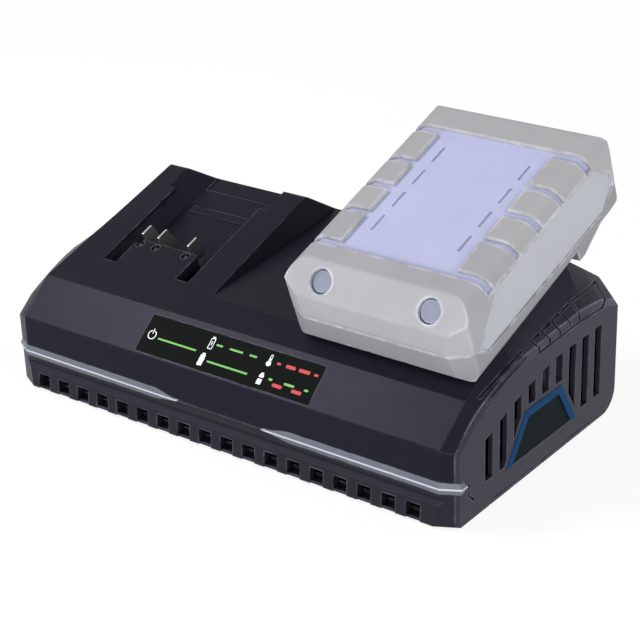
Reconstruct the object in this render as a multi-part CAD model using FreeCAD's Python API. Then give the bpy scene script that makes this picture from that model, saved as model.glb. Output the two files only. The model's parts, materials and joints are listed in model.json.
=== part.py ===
import FreeCAD, Part
import functools
import math
import os

# Twin-bay charger for slide-on tool batteries, with one battery docked in its right bay.
# Millimetres. X runs across both bays, Y from the upright front to the rear, Z up.
# While it is modelled, Y = 0 is the upright front and Z = 0 is the underside of the housing.

os.makedirs("parts", exist_ok=True)
V = FreeCAD.Vector

# Overall housing
housing_width = 210.2
housing_depth = 111.7
front_height = 29.5          # top of the upright front
fascia_run = 15.2            # how far back the sloped fascia reaches
deck_front_height = 42.3     # top of the fascia, where the decks start
deck_tilt = 19.2             # slope of both decks, degrees
deck_length = 77.0           # up the slope, from the fascia to the ridge
rear_top_height = 52.4
rear_foot_radius = 9.0
wall = 2.4
parting_height = 15.15       # where the upper and the lower housing meet

# Shoulders and corners
side_height = 45.8           # top of the flat vented side
side_arch_start = 10.9       # Y where the side's arched top leaves the corner facet
side_arch_end = 41.0         # Y where the arch becomes level
side_arch_drop = 11.6
side_arch_power = 1.4
side_rear_fall = 3.1
side_rear_run = 10.8
corner_set = 6.5             # front corner facet, across
corner_run = 3.4             # front corner facet, towards the rear
corner_top = 28.0
deck_edge_front = 99.2       # half width of the top at the fascia's upper fold
deck_edge_ridge = 95.0
deck_edge_rear = 96.7
panel_thickness = 2.0

# Lower front
skirt_flare = 1.1
skirt_lip_out = 0.5
skirt_lip_height = 8.2
band_groove_depth = 0.9
band_groove_height = 10.0
strip_half_height = 2.15
strip_proud = 0.9
strip_inset = 1.4
strip_left_tip = -18.8
strip_right_tip = 21.2
strip_taper = 12.0
strip_side_end = 6.5
front_vent_count = 18
front_vent_pitch = 10.48
front_vent_width = 5.9
front_vent_top = 6.4
front_vent_shift = -0.95     # the row sits this far left of the middle
vent_bar_height = 1.0        # thin bar that closes each front vent at the bottom
vent_bar_set = 0.5           # how far that bar stands back from the skirt

# Side vents and badge
side_vent_count = 9
side_vent_first = 18.7
side_vent_pitch = 9.485
side_vent_width = 5.0
side_vent_foot = 10.7
side_vent_top = 39.6
side_vent_drop = 12.4
side_vent_rise = 52.0
badge_low = 9.0
badge_high = 26.8
badge_foot_front = 32.6
badge_foot_rear = 81.2
badge_top_front = 45.6
badge_top_rear = 70.1
badge_rim = 3.0
badge_land = 1.7             # solid margin kept round the badge
badge_depth = 1.0

# Indicator label on the fascia
label_left = -40.4
label_right = 42.1
label_low = 1.3              # up the fascia from its lower fold
label_high = 17.1
label_thickness = 0.8

# Bays, in bay coordinates: X across, Y up the deck, Z out of the deck
bay_offset = 60.3            # middle of each bay from the middle of the charger
lip_half = 22.2              # half gap between the two rail lips
lip_thickness = 2.5
lip_end = 64.3
trough_depth = 8.9
trough_top_half = 25.8
trough_floor_half = 18.5
trough_front = 16.4
tongue_half = 15.7
tongue_rear = 31.6
tongue_skin = 2.6
valley_start = 12.8          # up the deck, where the middle starts to fall away
valley_half = 23.6
valley_angle = 9.5
valley_draft = 20.0
floor_bar_front = 60.2
floor_bar_rear = 64.8
floor_bar_half = 14.9
floor_bar_height = 0.8
floor_step_place = 76.0
floor_step_half = 17.3
floor_step_depth = 0.5

# Blades
blade_places = (-12.9, -4.7, 10.9)
blade_thickness = 0.8
blade_height = 2.9           # above the deck
blade_top_end = 37.7
blade_low_end = 40.2
blade_foot = -6.5
contact_hole_place = 29.1
contact_hole_radius = 1.8
contact_pin_radius = 0.9

# Battery, in bay coordinates
pack_gap = 0.35              # between the battery's underside and the deck
cell_end_room = 6.5          # from a cell's end to the battery's side
pack_top = 31.4
pack_front = 5.6
pack_rear = 117.0
pack_edge_radius = 8.0
pack_wall = 2.2
overmould = 1.5
pack_travel = 85.0
plug_height = 26.6           # middle of each screw plug, on the sloped front
plug_hole_radius = 4.6
plug_radius = 4.1
window_depth = 0.9
grip_inner = 24.6
grip_rows = ((28.9, 44.7), (47.4, 59.7), (63.1, 75.5), (78.5, 94.7))
comb_front = 25.4
comb_rear = 98.6
foot_gap = 0.35              # sideways, between the battery's foot and the bay
foot_front = 17.0
foot_bottom_gap = 1.2
cell_radius = 9.2
cell_length = 65.0
pack_half_width = cell_length / 2 + cell_end_room
plug_spacing = 2 * (pack_half_width - 16)
cell_pitch = 18.6
cell_count = 5
cell_first = 21.0
button_travel = 3.0
button_half = 11.0
button_height = 8.0
button_middle = 12.5

# Feet, boards and fasteners
foot_stand = 1.2
rubber_foot_radius = 5.5
rubber_foot_recess = 0.8
board_thickness = 1.6
board_height = 7.0
screw_radius = 1.5
screw_head_radius = 2.9
screw_clearance = 0.2

strip_low = parting_height - strip_half_height
strip_high = parting_height + strip_half_height
half_width = housing_width / 2
panel_inner = half_width - panel_thickness
tilt = math.radians(deck_tilt)
ridge_y = fascia_run + deck_length * math.cos(tilt)
ridge_z = deck_front_height + deck_length * math.sin(tilt)
fascia_angle = math.degrees(math.atan2(deck_front_height - front_height, fascia_run))


# Sketching helpers
def rounded_points(points, radii):
    """Corner points of a closed outline as straight runs and tangent arcs."""
    edges = []
    starts = []
    ends = []
    mids = []
    count = len(points)
    for i in range(count):
        corner = points[i]
        back = points[i - 1] - corner
        ahead = points[(i + 1) % count] - corner
        back.normalize()
        ahead.normalize()
        half = back.getAngle(ahead) / 2
        radius = radii[i]
        if radius <= 0:
            starts.append(corner)
            ends.append(corner)
            mids.append(None)
            continue
        reach = radius / math.tan(half)
        middle = back + ahead
        middle.normalize()
        starts.append(corner + back * reach)
        ends.append(corner + ahead * reach)
        mids.append(corner + middle * (radius / math.sin(half) - radius))
    for i in range(count):
        if mids[i] is not None:
            edges.append(Part.Arc(starts[i], mids[i], ends[i]).toShape())
        leave = ends[i]
        arrive = starts[(i + 1) % count]
        if (leave - arrive).Length > 1e-6:
            edges.append(Part.LineSegment(leave, arrive).toShape())
    return Part.Face(Part.Wire(edges))


def prism_x(outline, x0, x1, radii=None):
    """Outline of (y, z) pairs, pushed from x0 to x1."""
    points = [V(x0, y, z) for y, z in outline]
    return rounded_points(points, radii or [0] * len(points)).extrude(V(x1 - x0, 0, 0))


def prism_y(outline, y0, y1, radii=None):
    """Outline of (x, z) pairs, pushed from y0 to y1."""
    points = [V(x, y0, z) for x, z in outline]
    return rounded_points(points, radii or [0] * len(points)).extrude(V(0, y1 - y0, 0))


def prism_z(outline, z0, z1, radii=None):
    """Outline of (x, y) pairs, pushed from z0 to z1."""
    points = [V(x, y, z0) for x, y in outline]
    return rounded_points(points, radii or [0] * len(points)).extrude(V(0, 0, z1 - z0))


def block(x0, x1, y0, y1, z0, z1):
    return Part.makeBox(x1 - x0, y1 - y0, z1 - z0, V(x0, y0, z0))


def rod(radius, start, end):
    start = V(*start)
    along = V(*end) - start
    return Part.makeCylinder(radius, along.Length, start, along)


def ring(outer, inner, start, end):
    """Tube between two radii, used as a ring or to cut a ring groove."""
    along = V(*end) - V(*start)
    past = along.normalize() if along.Length > 0 else along
    hole_start = V(*start) - past
    hole_end = V(*end) + past
    return rod(outer, start, end).cut(rod(inner, tuple(hole_start), tuple(hole_end)))


def join(shapes):
    shapes = list(shapes)
    if len(shapes) == 1:
        return shapes[0]
    return shapes[0].fuse(shapes[1:]).removeSplitter()


def mirrored(shape):
    return shape.mirror(V(0, 0, 0), V(1, 0, 0))


def in_bay(shape, side):
    """Places a shape made in bay coordinates: side is -1 for the left bay, 1 for the right."""
    placed = shape.copy()
    placed.Placement = FreeCAD.Placement(
        V(side * bay_offset, fascia_run, deck_front_height),
        FreeCAD.Rotation(V(1, 0, 0), deck_tilt),
    ).multiply(placed.Placement)
    return placed


def on_fascia(shape):
    """Places a shape made flat, X across and Y up the fascia, onto the sloped fascia."""
    placed = shape.copy()
    placed.Placement = FreeCAD.Placement(
        V(0, 0, front_height), FreeCAD.Rotation(V(1, 0, 0), fascia_angle)
    ).multiply(placed.Placement)
    return placed


# Housing form
def side_top(y):
    """Height of the flat side's upper edge."""
    if y < side_arch_start:
        arch_foot = side_height - side_arch_drop
        slope = (arch_foot - corner_top) / (side_arch_start - corner_run)
        return corner_top + (y - corner_run) * slope
    if y < side_arch_end:
        share = 1 - (y - side_arch_start) / (side_arch_end - side_arch_start)
        return side_height - side_arch_drop * share ** side_arch_power
    level_end = housing_depth - side_rear_run
    if y < level_end:
        return side_height
    return side_height - (y - level_end) * side_rear_fall / side_rear_run


def deck_edge(y):
    """Half width and height of the line where the top meets the shoulder."""
    corner_x = half_width - corner_set
    if y < fascia_run:
        share = y / fascia_run
        height = front_height + share * (deck_front_height - front_height)
        return corner_x + share * (deck_edge_front - corner_x), height
    if y < ridge_y:
        share = (y - fascia_run) / (ridge_y - fascia_run)
        height = deck_front_height + share * (ridge_z - deck_front_height)
        return deck_edge_front + share * (deck_edge_ridge - deck_edge_front), height
    share = (y - ridge_y) / (housing_depth - ridge_y)
    height = ridge_z + share * (rear_top_height - ridge_z)
    return deck_edge_ridge + share * (deck_edge_rear - deck_edge_ridge), height


def shoulder_cut(inset):
    """What the right shoulder takes off the housing, moved inwards by inset."""
    reach = 4.0
    arch_steps = 6
    places = [-3.0, 0.0, corner_run, side_arch_start, fascia_run]
    for i in range(1, arch_steps + 1):
        places.append(fascia_run + (side_arch_end - fascia_run) * i / arch_steps)
    places += [ridge_y, housing_depth - side_rear_run, housing_depth + 3.0]
    sections = []
    for y in places:
        top_x, top_z = deck_edge(y)
        run = V(half_width - top_x, 0, side_top(y) - top_z)
        run.normalize()
        inward = V(run.z, 0, -run.x) * inset
        upper = V(top_x, y, top_z) + inward - run * reach
        lower = V(half_width, y, side_top(y)) + inward + run * reach
        far = half_width + 40
        corners = [upper, lower, V(far, y, lower.z), V(far, y, upper.z + 30), V(upper.x, y, upper.z + 30)]
        sections.append(Part.makePolygon(corners + [corners[0]]))
    return Part.makeLoft(sections, True, True)


def corner_cut(inset):
    """What the right front corner facet takes off, moved inwards by inset."""
    back = inset * 1.2
    x0 = half_width - corner_set - back
    far = 20.0
    slope = corner_run / corner_set
    return prism_z(
        [(x0 - far, -far * slope), (x0 + far, far * slope), (x0 + far, -2 * far), (x0 - far, -2 * far)],
        -5,
        ridge_z,
    )


@functools.lru_cache(maxsize=None)
def housing_form():
    """The closed outer form of the whole housing, side panels included."""
    body = prism_x(
        [
            (-skirt_flare, 0),
            (-skirt_lip_out, skirt_lip_height),
            (band_groove_depth, band_groove_height),
            (0, strip_low),
            (0, front_height),
            (fascia_run, deck_front_height),
            (ridge_y, ridge_z),
            (housing_depth, rear_top_height),
            (housing_depth, 0),
        ],
        -half_width,
        half_width,
        [0, 0, 0, 0, 1.0, 1.4, 2.4, 2.4, rear_foot_radius],
    )
    for cutter in (shoulder_cut(0), corner_cut(0)):
        body = body.cut(cutter).cut(mirrored(cutter))
    return body


@functools.lru_cache(maxsize=None)
def housing_cavity():
    """The hollow inside the housing, open at both sides, where the panels close it."""
    slack = wall * 1.1
    body = prism_x(
        [
            (wall, wall),
            (wall, front_height - slack * 0.3),
            (fascia_run + slack * 0.4, deck_front_height - slack),
            (ridge_y, ridge_z - slack),
            (housing_depth - wall, rear_top_height - slack * 0.6),
            (housing_depth - wall, wall),
        ],
        -half_width - 2,
        half_width + 2,
        [0, 0, 0, 0, 0, rear_foot_radius - wall],
    )
    for cutter in (shoulder_cut(wall), corner_cut(wall)):
        body = body.cut(cutter).cut(mirrored(cutter))
    return body


# Bays
def trough_half(depth):
    """Half width of the trough at a depth below the deck."""
    return trough_top_half + (trough_floor_half - trough_top_half) * depth / trough_depth


def bay_cut():
    """Everything that a bay takes out of the deck."""
    past = deck_length + 30
    under = prism_y(
        [
            (-trough_floor_half, -trough_depth),
            (trough_floor_half, -trough_depth),
            (trough_half(lip_thickness), -lip_thickness),
            (-trough_half(lip_thickness), -lip_thickness),
        ],
        trough_front,
        past,
    )
    mouth = block(-lip_half, lip_half, trough_front, lip_end + 1, -lip_thickness - 0.5, 12)
    drop_in = prism_y(
        [
            (-trough_floor_half, -trough_depth),
            (trough_floor_half, -trough_depth),
            (trough_top_half, 0),
            (trough_top_half, 12),
            (-trough_top_half, 12),
            (-trough_top_half, 0),
        ],
        lip_end,
        past,
    )
    tongue = prism_z(
        [
            (-tongue_half, trough_front - 1),
            (tongue_half, trough_front - 1),
            (tongue_half, tongue_rear - 1),
            (tongue_half - 2, tongue_rear),
            (-tongue_half + 3.5, tongue_rear),
            (-tongue_half, tongue_rear - 3),
        ],
        -trough_depth - 1,
        0,
        [0, 0, 0.8, 0.8, 0.8, 0.8],
    )
    bar = prism_x(
        [
            (floor_bar_front, -trough_depth),
            (floor_bar_front + floor_bar_height, -trough_depth + floor_bar_height),
            (floor_bar_rear, -trough_depth + floor_bar_height),
            (floor_bar_rear, -trough_depth),
        ],
        -floor_bar_half,
        floor_bar_half,
    )
    step = block(
        -floor_step_half, floor_step_half, floor_step_place, past, -trough_depth - floor_step_depth, -trough_depth + 1
    )
    return under.fuse([mouth, drop_in, step]).cut(tongue).cut(bar)


def bay_tub():
    """Solid under a bay, from which the trough is cut, so that the trough has a wall all round."""
    side = trough_top_half + wall
    return block(-side, side, trough_front - wall, deck_length + 40, -trough_depth - wall, 1)


def contact_block_shape():
    """Black block that carries the blades under the tongue, with a flange under the bay's floor."""
    body = block(-13.4, 13.4, 19.4, tongue_rear - 0.4, -trough_depth - wall, -tongue_skin)
    flange = block(-15.5, 15.5, 17.5, 33.5, -trough_depth - wall - 2, -trough_depth - wall)
    solid = join([body, flange])
    for x in blade_places:
        solid = solid.cut(blade_shape(x))
        solid = solid.cut(contact_pin(x))
    return solid


def blade_shape(x):
    """One contact blade, standing on edge along the slide direction."""
    return prism_x(
        [
            (22.0, blade_foot),
            (blade_low_end - 0.6, blade_foot),
            (blade_low_end, blade_foot + 1.2),
            (blade_top_end, blade_height),
            (tongue_rear + 0.3, blade_height),
            (tongue_rear + 0.3, -tongue_skin - 1.0),
            (22.0, -tongue_skin - 1.0),
        ],
        x - blade_thickness / 2,
        x + blade_thickness / 2,
        [0, 0, 0.4, 0.4, 0.4, 0, 0],
    )


def contact_pin(x):
    """Round test contact that shows in the hole above each blade."""
    return rod(
        contact_pin_radius, (x, contact_hole_place, -tongue_skin - 1.0), (x, contact_hole_place, -0.5)
    )


def bay_holes():
    """Holes in the tongue over the contacts, and the pocket for the contact block."""
    holes = [
        rod(contact_hole_radius, (x, contact_hole_place, -tongue_skin - 1), (x, contact_hole_place, 1))
        for x in blade_places
    ]
    pocket = block(-13.4, 13.4, 19.4, tongue_rear + 0.5, -trough_depth - wall - 1, -tongue_skin)
    return join(holes + [pocket])


def valley_cut():
    """The middle between the decks, which falls away below them towards the rear."""
    lean = math.tan(math.radians(valley_draft))
    high = 10.0
    low = 40.0
    across = prism_y(
        [
            (-valley_half - high * lean, high),
            (valley_half + high * lean, high),
            (valley_half - low * lean, -low),
            (-valley_half + low * lean, -low),
        ],
        -5,
        deck_length + 40,
    )
    start_y = fascia_run + valley_start * math.cos(tilt)
    start_z = deck_front_height + valley_start * math.sin(tilt)
    run = housing_depth + 20 - start_y
    rise = run * math.tan(math.radians(valley_angle))
    wedge = prism_x(
        [(start_y, start_z), (start_y + run, start_z + rise), (start_y + run, 120), (start_y, 120)], -60, 60
    )
    placed = in_bay(across, 1)
    placed.translate(V(-bay_offset, 0, 0))
    return placed.common(wedge)


# Screw posts
screw_posts = [
    (-half_width + 15, 10.5),
    (half_width - 15, 10.5),
    (-half_width + 12, housing_depth - 11),
    (half_width - 12, housing_depth - 11),
    (0, housing_depth - 12),
]
post_radius = 4.2
post_bore = 1.25
head_seat = 8.0

board_top = board_height + board_thickness
board_half_width = half_width - 21.1
board_front = 8.0
board_rear = housing_depth - 17.7
board_post_inset = 14.0
board_posts = [
    (x, y)
    for x in (-board_half_width + board_post_inset, board_half_width - board_post_inset)
    for y in (board_front + 12, board_rear - 6)
] + [(0, 30)]
board_post_radius = 3.2

rubber_feet_places = [
    (x, y) for x in (-half_width + 32, half_width - 32) for y in (14.0, housing_depth - 16)
]

# Fan
fan_size = 30.0
fan_thickness = 10.0
fan_x = panel_inner - 1.6    # outer face of the fan, just inside the right panel
fan_y = 60.0

# Mains inlet
inlet_x = -30.0
inlet_half = 10.2
inlet_low = 10.5
inlet_high = inlet_low + 12.0
inlet_depth = 22.0
inlet_flange = 1.6
inlet_flange_thickness = 1.0
inlet_socket_radius = 4.3
inlet_socket_offset = 3.5
inlet_socket_depth = 11.0
inlet_pin_radius = 1.15
inlet_pin_offset = 4.3
inlet_pin_length = 9.5


def upper_housing():
    form = housing_form()
    solid = form.cut(housing_cavity())
    tubs = join([in_bay(bay_tub(), side) for side in (-1, 1)]).common(form)
    posts = join(
        [rod(post_radius - 0.4, (x, y, parting_height), (x, y, ridge_z + 5)) for x, y in screw_posts]
    ).common(form)
    solid = solid.fuse([tubs, posts])
    solid = solid.common(block(-panel_inner, panel_inner, -10, housing_depth + 10, parting_height, 100))
    valley_plate_top = valley_cut()
    valley_under = valley_cut()
    valley_under.translate(V(0, 0, -wall))
    plate = valley_under.cut(valley_plate_top).common(form)
    plate = plate.common(block(-valley_half - 8, valley_half + 8, 0, housing_depth, 0, 100))
    walls = valley_wall_solids().common(form)
    solid = solid.fuse([plate, walls]).cut(valley_plate_top)
    for side in (-1, 1):
        solid = solid.cut(in_bay(bay_cut(), side)).cut(in_bay(bay_holes(), side))
    for x, y in screw_posts:
        solid = solid.cut(rod(post_bore, (x, y, parting_height - 1), (x, y, parting_height + 12)))
    solid = solid.cut(label_pocket())
    solid = solid.cut(inlet_window())
    for strip in light_strips():
        solid = solid.cut(strip)
    solid = solid.cut(parting_groove())
    grooves = shoulder_grooves(1).Solids + shoulder_grooves(-1).Solids
    return solid.cut(grooves).removeSplitter()


def valley_wall_solids():
    """Walls under the decks' inner edges, beside the valley."""
    lean = math.tan(math.radians(valley_draft))
    low = 30.0
    wall_shape = prism_y(
        [
            (valley_half, 0),
            (valley_half + wall, 0),
            (valley_half + wall - low * lean, -low),
            (valley_half - low * lean, -low),
        ],
        valley_start - 2,
        deck_length + 40,
    )
    both = join([wall_shape, mirrored(wall_shape)])
    placed = in_bay(both, 1)
    placed.translate(V(-bay_offset, 0, 0))
    start_y = fascia_run
    run = housing_depth + 20 - start_y
    start_z = deck_front_height - wall * 1.5
    rise = run * math.tan(math.radians(valley_angle))
    keep = prism_x(
        [(start_y, start_z), (start_y + run, start_z + rise), (start_y + run, 120), (start_y, 120)], -60, 60
    )
    return placed.common(keep)


def parting_groove():
    """Shallow V along the parting line between the two light strips."""
    half = 0.5
    return prism_x(
        [(-0.1, parting_height - half), (half, parting_height), (-0.1, parting_height + half)],
        strip_left_tip - strip_taper / 3,
        strip_right_tip + strip_taper / 3,
    )


def label_pocket():
    return on_fascia(block(label_left, label_right, label_low, label_high, -label_thickness, 3))


def inlet_window():
    return block(
        inlet_x - inlet_half, inlet_x + inlet_half, housing_depth - 6, housing_depth + 5, inlet_low, inlet_high
    )


# Lines moulded in each shoulder, as (Y, share of the way from the deck's edge to the side's edge)
rib_starts = (54.4, 61.9, 69.1, 76.4)
rib_lengths = (4.6, 4.7, 4.7, 4.6)
key_outline = [(105.0, 0.28), (84.2, 0.59), (83.5, 0.68), (84.9, 0.82), (83.5, 0.95), (99.8, 0.97), (105.2, 0.77)]
front_lines = [[(20.4, 0.42), (46.9, 0.60)], [(21.4, 0.79), (47.0, 0.83)]]
line_width = 0.8
line_depth = 0.7
line_reach = 3.0             # the cutting bars reach this far out of the surface


def shoulder_point(place):
    y, share = place
    x, z = deck_edge(y)
    return V(x + (half_width - x) * share, y, z + (side_top(y) - z) * share)


def line_cutter(start, end, outward, depth):
    """Bar that cuts a square groove along a line on a surface, that deep."""
    along = end - start
    half = line_width / 2
    bar = block(-half, along.Length + half, -half, half, -depth, line_reach)
    x_way = along.normalize()
    y_way = outward.cross(x_way)
    y_way.normalize()
    z_way = x_way.cross(y_way)
    matrix = FreeCAD.Matrix(
        x_way.x, y_way.x, z_way.x, start.x,
        x_way.y, y_way.y, z_way.y, start.y,
        x_way.z, y_way.z, z_way.z, start.z,
        0, 0, 0, 1,
    )
    bar.Placement = FreeCAD.Placement(matrix).multiply(bar.Placement)
    return bar


@functools.lru_cache(maxsize=None)
def shoulder_grooves(side):
    """Thin lines of the shoulder: two on its front half, four ribs and a key-shaped outline behind."""
    paths = list(front_lines)
    paths.append(key_outline + [key_outline[0]])
    lower_start = rib_starts[0] - 0.6
    paths.append([(lower_start, 0.97), key_outline[4]])
    for y, length in zip(rib_starts, rib_lengths):
        paths.append([(y + length, 0.59), (y, 0.58), (y - 0.4, 0.66), (y + 1.3, 0.86), (y - 0.4, 0.97)])
    cuts = []
    for path in paths:
        for first, second in zip(path, path[1:]):
            start = shoulder_point(first)
            end = shoulder_point(second)
            top_x, top_z = deck_edge((first[0] + second[0]) / 2)
            across = V(half_width - top_x, 0, side_top((first[0] + second[0]) / 2) - top_z)
            outward = V(-across.z, 0, across.x)
            cuts.append(line_cutter(start, end, outward, line_reach))
    outward.normalize()
    under = housing_form().copy()
    under.translate(outward * -line_depth)
    grooves = join(cuts).cut(under)
    return grooves if side > 0 else mirrored(grooves)


def fan_cradle():
    """Ribs on the lower housing's floor that the fan stands on and between."""
    x0 = fan_x - fan_thickness
    half = fan_size / 2
    ribs = []
    for y in (fan_y - half + 3, fan_y + half - 3):
        ribs.append(block(x0, fan_x, y - 1, y + 1, 0, board_top))
    for y0 in (fan_y - half - 2.1, fan_y + half + 0.1):
        ribs.append(block(x0, fan_x, y0, y0 + 2, 0, board_top + 5))
    for x in (x0 - 1.6, fan_x):
        for y in (fan_y - half + 3, fan_y + half - 3):
            ribs.append(block(x, x + 1.5, y - 1, y + 1, 0, board_top + 2))
    return ribs


def lower_housing():
    form = housing_form()
    solid = form.cut(housing_cavity())
    bosses = [rod(post_radius, (x, y, 0), (x, y, parting_height)) for x, y in screw_posts]
    rests = [rod(board_post_radius, (x, y, 0), (x, y, board_height)) for x, y in board_posts]
    solid = solid.fuse(join(bosses + rests + fan_cradle()).common(form))
    solid = solid.common(block(-panel_inner, panel_inner, -10, housing_depth + 10, -5, parting_height))
    for x, y in screw_posts:
        solid = solid.cut(rod(screw_radius + screw_clearance, (x, y, -1), (x, y, parting_height + 1)))
        solid = solid.cut(rod(screw_head_radius + screw_clearance, (x, y, -1), (x, y, head_seat)))
    for x, y in board_posts:
        solid = solid.cut(rod(1.0, (x, y, wall), (x, y, board_height + 1)))
    for x, y in rubber_feet_places:
        solid = solid.cut(rod(rubber_foot_radius, (x, y, -1), (x, y, rubber_foot_recess)))
    first = front_vent_shift - front_vent_pitch * (front_vent_count - 1) / 2
    for i in range(front_vent_count):
        x = first + i * front_vent_pitch
        half = front_vent_width / 2
        solid = solid.cut(block(x - half, x + half, -3, wall + 0.8, vent_bar_height, front_vent_top))
        solid = solid.cut(block(x - half, x + half, -3, -skirt_flare + vent_bar_set, -1, vent_bar_height))
    solid = solid.cut(inlet_window())
    for strip in light_strips():
        solid = solid.cut(strip)
    solid = solid.cut(parting_groove())
    return solid.removeSplitter()


# Side panels and badges
def badge_outline(grow):
    """Trapezoid of the badge as (y, z) pairs, grown all round."""
    lean_front = (badge_top_front - badge_foot_front) / (badge_high - badge_low)
    lean_rear = (badge_foot_rear - badge_top_rear) / (badge_high - badge_low)
    side_front = grow * math.hypot(1, lean_front)
    side_rear = grow * math.hypot(1, lean_rear)
    low = badge_low - grow
    high = badge_high + grow
    return [
        (badge_foot_front - side_front - grow * lean_front, low),
        (badge_foot_rear + side_rear + grow * lean_rear, low),
        (badge_top_rear + side_rear - grow * lean_rear, high),
        (badge_top_front - side_front + grow * lean_front, high),
    ]


def side_vent_height(y):
    share = max(0.0, 1 - (y - side_vent_first) / side_vent_rise)
    return side_vent_top - side_vent_drop * share ** 1.6


def side_vents():
    cuts = []
    for i in range(side_vent_count):
        y0 = side_vent_first + i * side_vent_pitch
        y1 = y0 + side_vent_width
        cuts.append(
            prism_x(
                [
                    (y0, side_vent_foot),
                    (y1, side_vent_foot),
                    (y1, side_vent_height(y1)),
                    (y0, side_vent_height(y0)),
                ],
                panel_inner - 2,
                half_width + 2,
            )
        )
    land = prism_x(badge_outline(badge_land), panel_inner - 3, half_width + 3)
    return join(cuts).cut(land)


def right_side_panel():
    solid = housing_form().common(block(panel_inner, half_width + 5, -10, housing_depth + 10, -5, 100))
    solid = solid.cut(side_vents())
    solid = solid.cut(prism_x(badge_outline(0), half_width - badge_depth, half_width + 2))
    line = 0.8
    breaks = (22.3, 38.5, 57.8, 75.5, 91.6)
    solid = solid.cut(block(half_width - line, half_width + 1, breaks[0], breaks[-1], 1.4, 1.9))
    for y in breaks:
        solid = solid.cut(block(half_width - line, half_width + 1, y - 0.3, y + 0.3, -1, 1.9))
    for strip in light_strips():
        solid = solid.cut(strip)
    solid = solid.cut(shoulder_grooves(1).Solids)
    hook = ((8.5, strip_low + 1.5), (8.5, 10.2), (11.5, 7.4))
    for first, second in zip(hook, hook[1:]):
        start = V(half_width, first[0], first[1])
        end = V(half_width, second[0], second[1])
        solid = solid.cut(line_cutter(start, end, V(1, 0, 0), line_depth))
    return solid.removeSplitter()


def badge_frame():
    outer = prism_x(badge_outline(0), half_width - badge_depth, half_width + 0.3)
    inner_points = badge_outline(-badge_rim)
    foot = badge_low - 5
    lean_front = (badge_top_front - badge_foot_front) / (badge_high - badge_low)
    lean_rear = (badge_foot_rear - badge_top_rear) / (badge_high - badge_low)
    drop = inner_points[0][1] - foot
    inner = prism_x(
        [
            (inner_points[0][0] - drop * lean_front, foot),
            (inner_points[1][0] + drop * lean_rear, foot),
            inner_points[2],
            inner_points[3],
        ],
        half_width - badge_depth - 1,
        half_width + 3,
    )
    return outer, inner


def right_badge_frame():
    outer, inner = badge_frame()
    return outer.cut(inner)


def right_badge_plate():
    outer, inner = badge_frame()
    return outer.common(inner).common(block(0, half_width - 0.2, -10, 200, -10, 200))


# Light strips
def strip_outline(tip, proud, side_end):
    """Plan of the right strip, from its tip near the middle round the corner to the side."""
    corner_x = half_width - corner_set
    slope = corner_run / corner_set
    inset = strip_inset
    return [
        (tip, -proud),
        (corner_x + proud * slope * 0.5, -proud),
        (half_width + proud, corner_run - proud * (1 - slope)),
        (half_width + proud, side_end),
        (half_width - inset, side_end),
        (half_width - inset, corner_run + inset * 0.4),
        (corner_x - inset * 0.4, inset),
        (tip, inset),
    ]


def strip_solid(tip):
    sections = []
    for z, proud, end, side_end in (
        (strip_low, 0.0, tip + strip_taper, strip_side_end - 1.6),
        ((strip_low + strip_high) / 2, strip_proud, tip, strip_side_end),
        (strip_high, 0.0, tip + strip_taper, strip_side_end - 1.6),
    ):
        points = [V(x, y, z) for x, y in strip_outline(end, proud, side_end)]
        sections.append(Part.makePolygon(points + [points[0]]))
    return Part.makeLoft(sections, True, True)


@functools.lru_cache(maxsize=None)
def light_strips():
    return [mirrored(strip_solid(-strip_left_tip)), strip_solid(strip_right_tip)]


# Indicator
def indicator_panel():
    return on_fascia(block(label_left, label_right, label_low, label_high, -label_thickness, 0))


# Inside the charger
indicator_gap = 2.0          # from the fascia's inner face to the indicator board
fan_bore = 13.8
fan_tip_gap = 0.7
fan_hub_radius = 6.0
fan_blades = 7
fan_blade_pitch = 38.0
fan_pin_radius = 1.0
fan_pin_gap = 0.05


def main_board():
    solid = block(-board_half_width, board_half_width, board_front, board_rear, board_height, board_top)
    for x, y in board_posts:
        solid = solid.cut(rod(1.3, (x, y, board_height - 1), (x, y, board_top + 1)))
    return solid


def pan_screw(x, y, z, radius, head_radius, head_height, length):
    """A pan-head screw driven downwards, its head's underside at z."""
    shank = rod(radius, (x, y, z - length), (x, y, z))
    head = rod(head_radius, (x, y, z), (x, y, z + head_height))
    slot = block(x - head_radius, x + head_radius, y - 0.4, y + 0.4, z + head_height * 0.5, z + head_height + 1)
    return join([shank, head]).cut(slot)


def board_screws():
    return Part.makeCompound([pan_screw(x, y, board_top, 0.95, 2.2, 1.4, 5.0) for x, y in board_posts])


def housing_screws():
    """Screws driven from below, heads sunk in the lower housing's posts."""
    screws = []
    for x, y in screw_posts:
        shank = rod(post_bore - 0.03, (x, y, head_seat), (x, y, parting_height + 10))
        head = rod(screw_head_radius, (x, y, head_seat - 2.2), (x, y, head_seat))
        slot = block(x - 2, x + 2, y - 0.5, y + 0.5, head_seat - 3, head_seat - 1.1)
        cross = block(x - 0.5, x + 0.5, y - 2, y + 2, head_seat - 3, head_seat - 1.1)
        screws.append(join([shank, head]).cut(slot).cut(cross))
    return Part.makeCompound(screws)


def rubber_feet():
    feet = []
    for x, y in rubber_feet_places:
        foot = Part.makeCone(rubber_foot_radius - 0.8, rubber_foot_radius, foot_stand, V(x, y, -foot_stand))
        feet.append(join([foot, rod(rubber_foot_radius, (x, y, 0), (x, y, rubber_foot_recess))]))
    return Part.makeCompound(feet)


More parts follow.
